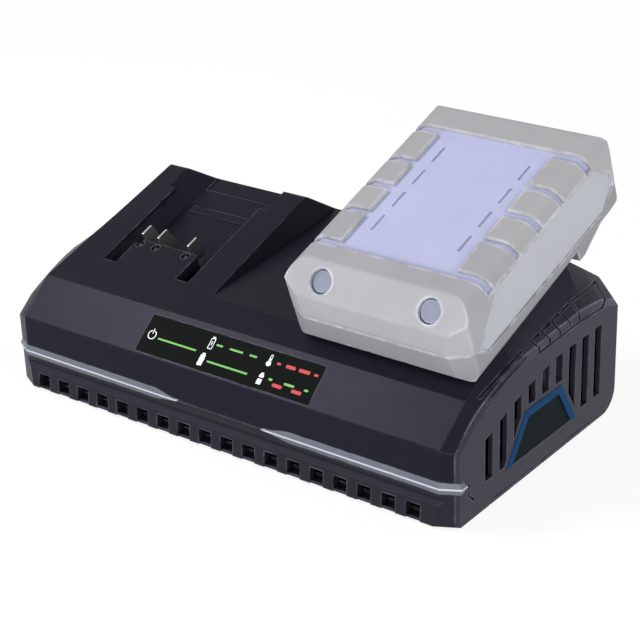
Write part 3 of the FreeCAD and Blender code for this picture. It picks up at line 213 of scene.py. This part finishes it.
# %% [markdown]
# Outer edges get a painted highlight, and creases get painted shade. Both could be drawn into
# a texture, but ambient occlusion finds them by itself: measured inside the solid it is low
# at outer edges, and measured outside it is low in creases. A noise breaks the painted edge
# highlight into patches, so it is uneven along the edge.

# %% Painted edge highlight and crease shade
OCCLUSION_SAMPLES = 8
PATCHES_PER_METRE = 160.0
PATCH_FLOOR = 0.36
PATCH_GAIN = 3.6
CREASE_GAIN = 1.6


def occlusion_node(tree, distance, inside):
    node = tree.nodes.new("ShaderNodeAmbientOcclusion")
    node.samples = OCCLUSION_SAMPLES
    node.inside = inside
    node.only_local = True
    tree.links.new(distance, node.inputs["Distance"])
    return math_node(tree, "SUBTRACT", 1.0, node.outputs["AO"], clamp=True)


def make_edge_light_group():
    """Two masks: outer edges, for a painted highlight, and creases, for painted shade."""
    group, given, result = new_group(
        "edge_highlight_and_crease_shade",
        {"Width": 0.0006, "Gain": 2.2, "Crease": 0.0012},
        ("Highlight", "Crease"),
    )
    edges = occlusion_node(group, given["Width"], True)
    edges = math_node(group, "MULTIPLY", edges, given["Gain"], clamp=True)
    patches = noise_node(group, PATCHES_PER_METRE, detail=4.0, rough=0.65)
    patches = math_node(group, "SUBTRACT", patches, PATCH_FLOOR)
    patches = math_node(group, "MULTIPLY", patches, PATCH_GAIN, clamp=True)
    highlight_mask = math_node(group, "MULTIPLY", edges, patches, clamp=True)
    crease = occlusion_node(group, given["Crease"], False)
    crease = math_node(group, "MULTIPLY", crease, CREASE_GAIN, clamp=True)
    group.links.new(highlight_mask, result["Highlight"])
    group.links.new(crease, result["Crease"])
    return group


edge_light_group = make_edge_light_group()
print("group", edge_light_group.name, "nodes", len(edge_light_group.nodes))

# %% [markdown]
# One recipe makes every plastic of the charger and the battery. The Bevel node rounds an
# edge's shading without more faces, which gives the thin highlight that a moulded edge has.
# It feeds the bump's own normal, so the grain follows the rounded edge. The sheen is weak and
# slightly violet, as it is on a matt dark case. A metal is the same recipe with its Metallic
# turned up, so that pins and screws get the same faint unevenness.

# %% One recipe for plastics and metals
PLASTIC_IOR = 1.46
SHEEN_TINT = (0.78, 0.75, 1.0)
ROUGH_SPREAD = 0.08
SHADE_LOW, SHADE_HIGH = 0.86, 1.14
HIGHLIGHT_LIFT = 1.25
HIGHLIGHT_REACH = 1.8
CREASE_WIDTH = 1.2 * MM
GRAIN_DEPTH = 0.2 * MM
BEVEL_SAMPLES = 6


def shade(color, amount):
    return tuple(min(1.0, channel * amount) for channel in color)


def plastic(name, color, rough, grain=2400, bump=0.1, highlight_color=None, edge=0.3, gloss=0.3, gain=2.2,
            crease_shade=0.35):
    """Moulded plastic: grain in its bump, roughness and shade; painted edge highlights and crease
    shade.
    """
    material = bpy.data.materials.new(name)
    material.use_nodes = True
    tree = material.node_tree
    shader = tree.nodes["Principled BSDF"]
    shader.inputs["IOR"].default_value = PLASTIC_IOR
    shader.inputs["Specular IOR Level"].default_value = gloss
    shader.inputs["Specular Tint"].default_value = (*SHEEN_TINT, 1)
    grained = group_node(tree, grain_group, Scale=grain, Rough=rough, Spread=ROUGH_SPREAD)
    edge_light = group_node(tree, edge_light_group, Width=edge * MM * HIGHLIGHT_REACH, Gain=gain, Crease=CREASE_WIDTH)
    surface = mix_color(tree, grained["Shade"], shade(color, SHADE_LOW), shade(color, SHADE_HIGH))
    # Painted shade: creases darken towards a darker copy of the colour.
    surface = mix_color(tree, edge_light["Crease"], surface, shade(color, crease_shade))
    # Painted highlight: outer edges lighten in patches towards the highlight colour.
    surface = mix_color(tree, edge_light["Highlight"], surface, highlight_color or shade(color, HIGHLIGHT_LIFT))
    tree.links.new(surface, shader.inputs["Base Color"])
    tree.links.new(grained["Roughness"], shader.inputs["Roughness"])
    bevel = tree.nodes.new("ShaderNodeBevel")
    bevel.samples = BEVEL_SAMPLES
    bevel.inputs["Radius"].default_value = edge * MM
    bumped = tree.nodes.new("ShaderNodeBump")
    bumped.inputs["Strength"].default_value = bump
    bumped.inputs["Distance"].default_value = GRAIN_DEPTH
    tree.links.new(grained["Height"], bumped.inputs["Height"])
    tree.links.new(bevel.outputs[0], bumped.inputs["Normal"])
    tree.links.new(bumped.outputs[0], shader.inputs["Normal"])
    return material


def metal(name, color, rough):
    """Plated or drawn metal, with a slightly uneven shine."""
    material = plastic(name, color, rough, grain=3000, bump=0.05, edge=0.2, gloss=0.5)
    material.node_tree.nodes["Principled BSDF"].inputs["Metallic"].default_value = 1.0
    return material


# %% [markdown]
# The charger's case is a dark violet-grey plastic in three tones: the upper housing, the
# lower one, and the vented side panels, which look lightest. Its badges and its label are
# films, smoother than the case, with hardly any sheen. All of them are the recipe with other
# values, so that they look like pieces from one maker.

# %% Case, badges and label film
# The colour in CASE is the painted highlight on the case's outer edges.
CASE = {"grain": 2300, "bump": 0.2, "highlight_color": (0.095, 0.093, 0.118)}
FILM = {"grain": 3000, "edge": 0.2}

finish = {
    "housing": plastic("housing_plastic", (0.0096, 0.0089, 0.0146), 0.32, gloss=0.06, **CASE),
    "lower_shell": plastic(
        "lower_plastic", (0.0110, 0.0105, 0.0155), 0.42, gloss=0.16, gain=1.9, **CASE),
    "side_panel": plastic(
        "side_plastic", (0.0205, 0.0195, 0.029), 0.45, gloss=0.2, gain=1.9, **CASE),
    "badge_blue": plastic(
        "badge_blue", (0.001, 0.036, 0.105), 0.45, bump=0.03, gloss=0.04, **FILM),
    "badge_black": plastic(
        "badge_black", (0.002, 0.005, 0.006), 0.45, bump=0.02, gloss=0.03, **FILM),
    "label_black": plastic(
        "label_film", (0.0035, 0.0048, 0.0035), 0.5, bump=0.02, gloss=0.02, **FILM),
    "inlet_black": plastic(
        "inlet_black", (0.010, 0.010, 0.012), 0.4,
        grain=2800, bump=0.15, highlight_color=CASE["highlight_color"], edge=0.2, gloss=0.15),
    "rubber_black": plastic("rubber", (0.012, 0.012, 0.012), 0.75, grain=2500, bump=0.3),
}
print("case finishes:", sorted(finish))

# %% [markdown]
# The two light strips are silvered light guides with a ridge along their middle. On the real
# ones the ridge catches the light as one bright line, which is painted here as a highlight.
# It could be a sliver of its own, but it lies at one height all round, so a mask made from
# the surface's own height above the floor finds it, in any view and without another piece.

# %% Light strips
RIDGE_HALF_WIDTH = 0.45 * MM
RIDGE_HIGHLIGHT = (0.42, 0.44, 0.50)
RIDGE_CORE = 2.0


def make_ridge_highlight_group():
    """Mask that is 1 within half a line's width of a level height."""
    group, given, result = new_group("ridge_highlight_line", {"Level": 0.0, "Width": 0.0005}, ("Mask",))
    parts = group.nodes.new("ShaderNodeSeparateXYZ")
    group.links.new(group.nodes.new("ShaderNodeTexCoord").outputs["Object"], parts.inputs[0])
    away = math_node(group, "SUBTRACT", parts.outputs["Z"], given["Level"])
    away = math_node(group, "ABSOLUTE", away)
    share = math_node(group, "DIVIDE", away, given["Width"])
    mask = math_node(group, "SUBTRACT", 1.0, share, clamp=True)
    mask = math_node(group, "MULTIPLY", mask, RIDGE_CORE)
    mask = math_node(group, "SMOOTH_MIN", mask, 1.0, clamp=True)
    group.links.new(mask, result["Mask"])
    return group


def make_strip_silver(level):
    """Silvered plastic with a painted highlight line along the ridge at that height."""
    material = plastic(
        "strip_silver", (0.100, 0.108, 0.13), 0.38,
        grain=3000, bump=0.04, highlight_color=(0.18, 0.19, 0.22), gloss=0.25)
    tree = material.node_tree
    base = tree.nodes["Principled BSDF"].inputs["Base Color"]
    silver = base.links[0].from_socket
    ridge = group_node(tree, make_ridge_highlight_group(), Level=level, Width=RIDGE_HALF_WIDTH)
    # Painted highlight: the ridge line is mixed to a lighter silver.
    tree.links.new(mix_color(tree, ridge["Mask"], silver, RIDGE_HIGHLIGHT), base)
    return material


strip_low, strip_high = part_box("right_light_strip")
ridge_level = (strip_low.z + strip_high.z) / 2
finish["light_strip"] = make_strip_silver(ridge_level)
print("ridge of the light strips at", round(ridge_level / MM, 2), "mm")

# %% [markdown]
# Inside the case, what shows through the vents are a green board, yellow windings and a box
# capacitor, black sleeves and bare metal. They are small and in the shade, so the recipe
# with the right colour is enough for each.

# %% Inner parts
SMOOTH = {"grain": 3000, "bump": 0.03}

finish.update({
    "circuit_board": plastic(
        "circuit_board", (0.010, 0.085, 0.030), 0.35, grain=1500, bump=0.05),
    "led_white": plastic("lamp_lens", (0.75, 0.75, 0.68), 0.2, grain=3000, bump=0.02),
    "screw_steel": metal("screw_steel", (0.55, 0.56, 0.58), 0.3),
    "capacitor_black": plastic("capacitor_sleeve", (0.012, 0.014, 0.030), 0.3, **SMOOTH),
    "sink_aluminium": metal("sink_aluminium", (0.68, 0.69, 0.71), 0.4),
    "copper": metal("choke_copper", (0.55, 0.22, 0.08), 0.35),
    "box_yellow": plastic("box_capacitor", (0.62, 0.42, 0.04), 0.35, **SMOOTH),
    "fuse_white": plastic("fuse_ceramic", (0.72, 0.71, 0.68), 0.3, **SMOOTH),
    "contact_metal": metal("contact_nickel", (0.40, 0.39, 0.37), 0.36),
    "fan_black": plastic("fan_plastic", (0.014, 0.014, 0.016), 0.4, grain=2800),
    "ferrite": plastic("ferrite", (0.020, 0.020, 0.022), 0.6, grain=2500, bump=0.2),
    "winding_yellow": plastic("winding_tape", (0.62, 0.44, 0.05), 0.4, grain=1500),
    "cell_sleeve": plastic("cell_sleeve", (0.06, 0.24, 0.50), 0.3, **SMOOTH),
})
print("finishes so far:", len(finish))

# %% [markdown]
# The battery is pale: a smooth lavender shell shows between soft grey covers, and its sides
# and its underside are greys of their own. On pale plastic dark painted crease shade would
# look like a drawn line, so the creases get less painted shade. The covers are an over-moulded
# soft plastic, with a deeper grain and rounder edges than the hard shell.

# %% Battery
# The last value in PALE and SOFT sets how dark the painted crease shade is.
PALE = {"gloss": 0.12, "crease_shade": 0.6}
SOFT = {"bump": 0.15, "edge": 0.7, "gloss": 0.1, "crease_shade": 0.6}

finish.update({
    "pack_lavender": plastic(
        "pack_lavender", (0.390, 0.403, 0.575), 0.45, grain=2600, bump=0.06, edge=0.4, **PALE),
    "pack_grey": plastic(
        "pack_low_grey", (0.228, 0.228, 0.245), 0.5,
        bump=0.12, highlight_color=(0.50, 0.50, 0.56), edge=0.5, **PALE),
    "pack_soft_grey": plastic(
        "pack_soft_grey", (0.318, 0.315, 0.328), 0.6, highlight_color=(0.52, 0.52, 0.56), **SOFT),
    "plug_blue": plastic(
        "plug_blue", (0.205, 0.215, 0.28), 0.35,
        grain=3000, bump=0.04, highlight_color=(0.50, 0.52, 0.62), gloss=0.25),
})
print("finishes in the table:", len(finish))

# %% [markdown]
# The record names a finish slot for every node, so the table above dresses all of them. A
# few nodes share a slot but get a finish of their own. On the real object the battery's side
# plates are lighter than its underside, and the small test contacts are tarnished. The front
# cap gets a darker copy of the covers' grey, painted shade that tones down the key light on it.

# %% Finishes on the nodes
pin_metal = metal("pin_metal", (0.045, 0.045, 0.045), 0.5)
side_plate = plastic(
    "pack_side_plate", (0.365, 0.381, 0.41), 0.45,
    grain=2600, bump=0.08, highlight_color=(0.60, 0.62, 0.68), edge=0.4, **PALE)
# Painted shade: the front cap is a darker copy of the soft grey.
front_cap_shade_grey = plastic(
    "pack_front_grey", (0.295, 0.293, 0.312), 0.55, highlight_color=(0.54, 0.54, 0.60), **SOFT)

OWN_FINISH = {
    "left_contact_pins": pin_metal,
    "right_contact_pins": pin_metal,
    "pack_left_side_plate": side_plate,
    "pack_right_side_plate": side_plate,
    "pack_front_cap": front_cap_shade_grey,
}

slot_of = {row["node"]: row["material_slot"] for row in frame["record"]["subparts"]}
for name, node in nodes.items():
    node.data.materials.clear()
    node.data.materials.append(OWN_FINISH.get(name, finish[slot_of[name]]))
print("finishes given to", len(nodes), "nodes")

# %% [markdown]
# The indicator label is one printed film. Its marks are a standby sign with a green bar, two
# batteries, a split battery and a thermometer, each beside its green or red dashes. On the
# real film they are screen-printed ink, a few hundredths of a millimetre thick. A picture on
# the film would blur close up, so each mark is a flat outline of its own, lifted off the film
# by a hair so that it never flickers. First the film's own frame is needed: where it starts,
# which way is up it, and how far it stands out.

# %% The fascia's own frame
INK_LIFT = 0.04 * MM
fascia_start = Vector((0, front_y, FRONT_TOP + FOOT_HEIGHT))
fascia_up = Vector((0, math.cos(fascia_tilt), math.sin(fascia_tilt)))
fascia_out = Vector((0, -math.sin(fascia_tilt), math.cos(fascia_tilt)))
film_turn = Matrix((Vector((1, 0, 0)), fascia_up, fascia_out)).transposed().to_4x4()
film_points = [vertex.co for vertex in nodes["indicator_panel"].data.vertices]
film_height = max((point - fascia_start).dot(fascia_out) for point in film_points)
print("film above the fascia's plane:", round(film_height / MM, 3), "mm")


def film_place(x, v):
    """Place on the film, from millimetres across it and up the fascia."""
    on_fascia = fascia_start + Vector((x * MM, 0, 0)) + fascia_up * (v * MM)
    return on_fascia + fascia_out * (film_height + INK_LIFT)


# %% [markdown]
# Screen ink is dense and a little uneven at its edges. The ink takes a clear colour with a
# faint mottle from the recipe. The green and red marks get a soft painted glow, as if lamps
# behind the film shone through them, and the white signs only reflect.

# %% Inks
def ink(name, color, glow=0.0):
    material = plastic(
        name, color, 0.4, grain=4000, bump=0.02, highlight_color=color, edge=0.02, gloss=0.1, gain=0.0)
    shader = material.node_tree.nodes["Principled BSDF"]
    # Painted glow: the ink gives off a little light of its own colour.
    shader.inputs["Emission Color"].default_value = (*color, 1)
    shader.inputs["Emission Strength"].default_value = glow
    return material


white_ink = ink("white_ink", (0.80, 0.82, 0.80))
green_ink = ink("green_ink", (0.13, 0.36, 0.08), 0.1)
red_ink = ink("red_ink", (0.42, 0.045, 0.04), 0.1)
print("inks:", white_ink.name, green_ink.name, red_ink.name)

# %% [markdown]
# Every mark starts as a plane of its size, modelled flat on the floor because that is easy to
# measure. A bar is a plane, with its corners bevelled in edit mode where it is rounded. A
# hollow sign is the same outline with its face inset and the middle deleted. The finished
# mark is then turned and moved onto the sloped film.

# %% Helpers for flat marks
CORNER_STEPS = 4
FLAT_ANGLE = math.radians(1)


def start_mark(width, height):
    """A plane of that many millimetres, at the origin, with its size in its mesh."""
    deselect()
    bpy.ops.mesh.primitive_plane_add(size=1, location=(0, 0, 0))
    mark = bpy.context.object
    mark.scale = (width * MM, height * MM, 1)
    bpy.ops.object.transform_apply(location=False, rotation=False, scale=True)
    return mark


def round_corners(radius, steps=CORNER_STEPS):
    edit_all()
    bpy.ops.mesh.bevel(offset=radius * MM, segments=steps, affect="VERTICES")
    leave_edit()


def hollow(line):
    """Leaves only a band of that width inside the active mark's outline."""
    edit_all()
    bpy.ops.mesh.dissolve_limited(angle_limit=FLAT_ANGLE)
    bpy.ops.mesh.select_all(action="SELECT")
    bpy.ops.mesh.inset(thickness=line * MM, use_boundary=True)
    bpy.ops.mesh.delete(type="FACE")
    leave_edit()


def lay_on_film(mark, x, v, material):
    mark.data.materials.append(material)
    mark.data.transform(Matrix.Translation(film_place(x, v)) @ film_turn)
    return mark


def bar(x0, x1, v, height, material, radius=0.0):
    mark = start_mark(x1 - x0, height)
    if radius:
        round_corners(radius)
    return lay_on_film(mark, (x0 + x1) / 2, v, material)


def join_marks(name, marks):
    """Joins marks of one ink into a piece that stays on the charger."""
    only(*marks)
    bpy.ops.object.join()
    whole = bpy.context.object
    whole.name = name
    whole.data.name = name
    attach(whole, "charger")
    print(name, "faces", len(whole.data.polygons))


# %% [markdown]
# The long green bars are thin and square-ended. The dashes beside them are short rounded
# pads: green ones for progress, red ones for faults. Each row of the table has a kind's ink,
# its height and corner radius, and then its marks: where each starts and ends across the
# label, and its height up the fascia, in millimetres.

# %% Bars and dashes
GREEN_ROWS = [
    (0.75, 0.0, [(-32.9, -14.1, 8.2), (-7.2, 12.0, 5.5)]),
    (0.8, 0.2, [(-6.7, -3.7, 12.7), (-0.3, 5.9, 12.7), (9.1, 12.5, 12.7)]),
    (0.95, 0.42, [(21.6, 23.4, 6.2), (28.6, 33.3, 6.2), (37.8, 39.6, 6.2)]),
]
RED_ROWS = [
    (1.4, 0.65, [(25.9, 30.4, 12.8), (31.8, 36.9, 12.8), (24.1, 28.6, 4.5), (32.9, 37.4, 4.5)]),
    (0.95, 0.42, [(21.8, 23.6, 12.8), (38.6, 40.6, 12.8)]),
]

for name, rows, material in (
    ("label_green_marks", GREEN_ROWS, green_ink),
    ("label_red_marks", RED_ROWS, red_ink),
):
    join_marks(name, [
        bar(x0, x1, v, height, material, radius)
        for height, radius, places in rows
        for x0, x1, v in places
    ])

# %% [markdown]
# The standby sign is a ring open at the top with a short stroke in the gap. A circle is
# added, its middle is cut away by an inset, and the faces in the gap are found by their place
# and deleted. An arc of planes would do as well, but it would need its own sums. The stroke's
# place and length are given as shares of the ring's radius.

# %% Standby sign
RING_SIDES = 48
STROKE_PLACE = 0.75
STROKE_LENGTH = 1.1


def standby_sign(x, v, radius, line, gap_half):
    deselect()
    bpy.ops.mesh.primitive_circle_add(vertices=RING_SIDES, radius=radius * MM, fill_type="NGON")
    ring = bpy.context.object
    hollow(line)
    edit_all()
    bpy.ops.mesh.select_all(action="DESELECT")
    leave_edit()
    for face in ring.data.polygons:
        face.select = face.center.y > 0 and abs(face.center.x) < gap_half * MM
    bpy.ops.object.mode_set(mode="EDIT")
    bpy.ops.mesh.delete(type="FACE")
    leave_edit()
    lay_on_film(ring, x, v, white_ink)
    stroke_middle = v + radius * STROKE_PLACE
    stroke = bar(x - line / 2, x + line / 2, stroke_middle, radius * STROKE_LENGTH, white_ink)
    return [ring, stroke]


white_marks = standby_sign(-36.4, 9.0, radius=1.95, line=0.36, gap_half=0.75)
print("ring faces left:", len(white_marks[0].data.polygons))

# %% [markdown]
# A battery sign is a rounded body with a small cap. The outlined one is hollow and has a
# short stroke in its middle, the solid one is full, and the third is split by a dark band.
# One helper makes all three from their place, height and width.

# %% Battery signs
CAP_HEIGHT = 0.7
CAP_HALF_SHARE = 0.28
BODY_CORNER = 0.25


def battery_sign(x, low, high, width, line=None):
    body_high = high - CAP_HEIGHT
    body = start_mark(width, body_high - low)
    round_corners(BODY_CORNER, 2)
    if line:
        hollow(line)
    lay_on_film(body, x, (low + body_high) / 2, white_ink)
    cap_half = width * CAP_HALF_SHARE
    cap = bar(x - cap_half, x + cap_half, high - CAP_HEIGHT / 2, CAP_HEIGHT, white_ink)
    return [body, cap]


white_marks += battery_sign(-9.0, 10.3, 15.5, 2.1, line=0.3)
white_marks.append(bar(-9.2, -8.8, 12.8, 1.6, white_ink))
white_marks += battery_sign(-9.9, 3.1, 8.3, 2.2)
white_marks += battery_sign(18.2, 5.9, 7.8, 2.0)
white_marks.append(bar(17.2, 19.2, 4.2, 2.2, white_ink, 0.2))
print("white marks so far:", len(white_marks))

# %% [markdown]
# The thermometer is a full round bulb with a hollow stem and a short column in it. The stem
# is a rounded plane that reaches a little into the bulb, so that no gap shows between them.

# %% Thermometer
BULB_SIDES = 32
BULB_RADIUS = 1.05
STEM_START = 1.6
STEM_WIDTH = 1.1
STEM_CORNER = 0.5
STEM_LINE = 0.26
COLUMN_HALF = 0.15
COLUMN_MIDDLE = 2.3
COLUMN_HEIGHT = 2.0


def thermometer(x, low, high):
    deselect()
    bpy.ops.mesh.primitive_circle_add(
        vertices=BULB_SIDES, radius=BULB_RADIUS * MM, fill_type="NGON")
    bulb = lay_on_film(bpy.context.object, x, low + BULB_RADIUS, white_ink)
    stem = start_mark(STEM_WIDTH, high - low - STEM_START)
    round_corners(STEM_CORNER)
    hollow(STEM_LINE)
    lay_on_film(stem, x, (low + high + STEM_START) / 2, white_ink)
    column_middle = low + COLUMN_MIDDLE
    column = bar(x - COLUMN_HALF, x + COLUMN_HALF, column_middle, COLUMN_HEIGHT, white_ink)
    return [bulb, stem, column]


white_marks += thermometer(18.4, 10.7, 15.4)
join_marks("label_white_marks", white_marks)

# %% [markdown]
# The battery's middle panel has two rows of slots, which show as darker dashes. A darker grey
# inlay lies in each of them, just under the surface. Dark paint in the slot would look flat,
# so each is a body: a cube of the slot's size with its edges bevelled, turned to the
# battery's slope. It is modelled once at the first slot and copied along the panel.

# %% Panel inlays
SLOT_FIRST = 38.9 * MM
SLOT_PITCH = 13.9 * MM
SLOT_LENGTH = 8.9 * MM
SLOT_WIDTH = 1.1 * MM
SLOT_ACROSS = 18.5 * MM
SLOTS_IN_ROW = 4
PANEL_TOP = 29.9 * MM
INLAY_THICKNESS = 0.5 * MM
INLAY_SINK = 0.15 * MM
INLAY_PLAY = 0.04 * MM
INLAY_BEVEL = 0.12 * MM

inlay_grey = plastic(
    "inlay_grey", (0.22, 0.23, 0.36), 0.5, 2600, 0.05, edge=0.1, gloss=0.12, gain=1.0, crease_shade=0.8)
inlay_turn = Matrix.Rotation(DECK_TILT, 4, "X")


def first_inlay():
    """One inlay at the origin, level, with its finish."""
    deselect()
    bpy.ops.mesh.primitive_cube_add(size=1, location=(0, 0, 0))
    inlay = bpy.context.object
    inlay.scale = (SLOT_WIDTH - INLAY_PLAY, SLOT_LENGTH - INLAY_PLAY, INLAY_THICKNESS)
    bpy.ops.object.transform_apply(location=False, rotation=False, scale=True)
    edit_all()
    bpy.ops.mesh.bevel(offset=INLAY_BEVEL, segments=2, affect="EDGES")
    leave_edit()
    inlay.data.materials.append(inlay_grey)
    return inlay


def place_inlay(pattern, name, x, up):
    """Copies the pattern, with a mesh of its own, into a slot of the docked battery."""
    inlay = pattern.copy()
    inlay.data = pattern.data.copy()
    bpy.context.scene.collection.objects.link(inlay)
    middle = in_bay(x, up, PANEL_TOP - INLAY_SINK - INLAY_THICKNESS / 2)
    inlay.data.transform(Matrix.Translation(middle) @ inlay_turn)
    inlay.name = name
    inlay.data.name = name
    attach(inlay, "battery_pack")


pattern = first_inlay()
for row, x in (("left", -SLOT_ACROSS), ("right", SLOT_ACROSS)):
    for i in range(SLOTS_IN_ROW):
        middle = SLOT_FIRST + i * SLOT_PITCH + SLOT_LENGTH / 2
        place_inlay(pattern, "pack_" + row + "_inlay_" + str(i + 1), x, middle)
only(pattern)
bpy.ops.object.delete()
print("inlays:", 2 * SLOTS_IN_ROW, "each", round(SLOT_LENGTH / MM, 1), "mm long")

# %% [markdown]
# The studio is a wide white floor under a white sky. A floor lit until it is white would
# flood the object with light, so Light Path asks who is looking: the camera, a reflection and
# a transmission see plain white, and the light that falls on the object comes from the same
# floor and sky at a much lower level. The floor keeps a share of its own diffuse shading,
# which holds the object's soft shadow.

# %% Floor and world
FLOOR_SIZE = 8.0
FLOOR_WHITE = 0.95
PLAIN_WHITE_SHARE = 0.86
SKY_LEVEL = 0.22


def seen_directly(tree):
    """1 for the camera, a reflection or a transmission, and 0 for light on the object."""
    path = tree.nodes.new("ShaderNodeLightPath").outputs
    seen = math_node(tree, "ADD", path["Is Camera Ray"], path["Is Glossy Ray"])
    return math_node(tree, "ADD", seen, path["Is Transmission Ray"], clamp=True)


def floor_white():
    material = bpy.data.materials.new("studio_floor")
    material.use_nodes = True
    tree = material.node_tree
    tree.nodes.clear()
    out = tree.nodes.new("ShaderNodeOutputMaterial")
    diffuse = tree.nodes.new("ShaderNodeBsdfDiffuse")
    diffuse.inputs["Color"].default_value = (FLOOR_WHITE, FLOOR_WHITE, FLOOR_WHITE, 1)
    glow = tree.nodes.new("ShaderNodeEmission")
    glow.inputs["Strength"].default_value = 1.0
    mix = tree.nodes.new("ShaderNodeMixShader")
    share = math_node(tree, "MULTIPLY", seen_directly(tree), PLAIN_WHITE_SHARE)
    tree.links.new(share, mix.inputs[0])
    tree.links.new(diffuse.outputs[0], mix.inputs[1])
    tree.links.new(glow.outputs[0], mix.inputs[2])
    tree.links.new(mix.outputs[0], out.inputs["Surface"])
    return material


deselect()
bpy.ops.mesh.primitive_plane_add(size=FLOOR_SIZE, location=(0, 0, 0))
floor = bpy.context.object
floor.name = "studio_floor"
floor.data.materials.append(floor_white())

world = bpy.data.worlds.new("studio_world")
bpy.context.scene.world = world
world.use_nodes = True
sky = world.node_tree.nodes["Background"].inputs
sky["Color"].default_value = (1, 1, 1, 1)
rest_level = math_node(world.node_tree, "MULTIPLY", seen_directly(world.node_tree), 1 - SKY_LEVEL)
level = math_node(world.node_tree, "ADD", rest_level, SKY_LEVEL)
world.node_tree.links.new(level, sky["Strength"])
print("floor", FLOOR_SIZE, "m wide, sky at", SKY_LEVEL, "for the object")

# %% [markdown]
# Product light is made of soft panels. The key is small and stands where the sloped fascia
# mirrors it to the camera, so the fascia gets its sheen and the decks stay dark. One wide
# panel lights the vented side, a low one fills the upright front and the underside of the
# battery, and a broad one behind draws a soft line along the shoulder. Each row holds its
# place, the point it faces, its size in metres and its power in watts.

# %% Lamps
LAMPS = {
    "key_panel": ((-0.66, -0.42, 0.90), (0, 0, 0.04), (0.34, 0.34), 10.0),
    "side_panel_light": ((1.15, -0.25, 0.5), (0, 0, 0.03), (0.8, 0.6), 7.5),
    "front_fill": ((0.25, -1.25, 0.22), (0, 0, 0.05), (0.8, 0.3), 12.0),
    "rear_rim": ((0.50, 1.05, 0.62), (0.08, 0, 0.05), (1.0, 0.8), 7.0),
}

for name, (place, aim, size, power) in LAMPS.items():
    light = bpy.data.lights.new(name, "AREA")
    light.shape = "RECTANGLE"
    light.size, light.size_y = size
    light.energy = power
    lamp = bpy.data.objects.new(name, light)
    bpy.context.scene.collection.objects.link(lamp)
    lamp.location = place
    lamp.rotation_euler = (Vector(aim) - Vector(place)).to_track_quat("-Z", "Y").to_euler()
    print(name, "watts", power)

# %% [markdown]
# The camera was found by solving the photograph's perspective from the object's straight
# edges: a long lens from the right, a quarter of the way up, rolled by two degrees. Its three
# axes are built from these angles and put straight into its matrix, because a roll by hand
# is hard to get exact.

# %% Camera
CAMERA_PLACE = Vector((0.3951, -0.44565, 0.3281)) + Vector((0, front_y, FOOT_HEIGHT))
CAMERA_AZIMUTH = math.radians(37.776)
CAMERA_HEIGHT = math.radians(24.929)
CAMERA_ROLL = math.radians(-1.966)
FOCAL_PIXELS = 1810.412
IMAGE_PIXELS = 640
SENSOR = 36.0
NEAREST = 0.01

back = Vector((
    math.sin(CAMERA_AZIMUTH) * math.cos(CAMERA_HEIGHT),
    -math.cos(CAMERA_AZIMUTH) * math.cos(CAMERA_HEIGHT),
    math.sin(CAMERA_HEIGHT),
))
level_right = (-back).cross(Vector((0, 0, 1))).normalized()
level_up = level_right.cross(-back)
right = level_right * math.cos(CAMERA_ROLL) + level_up * math.sin(CAMERA_ROLL)
up = -level_right * math.sin(CAMERA_ROLL) + level_up * math.cos(CAMERA_ROLL)

lens = bpy.data.cameras.new("photo_camera")
lens.sensor_width = SENSOR
lens.lens = FOCAL_PIXELS / IMAGE_PIXELS * SENSOR
lens.clip_start = NEAREST
camera = bpy.data.objects.new("photo_camera", lens)
bpy.context.scene.collection.objects.link(camera)
turn = Matrix((right, up, back)).transposed().to_4x4()
camera.matrix_world = Matrix.Translation(CAMERA_PLACE) @ turn
bpy.context.scene.camera = camera
bpy.context.scene.view_settings.view_transform = "Standard"
print("camera at", [round(v, 4) for v in CAMERA_PLACE], "lens", round(lens.lens, 2))
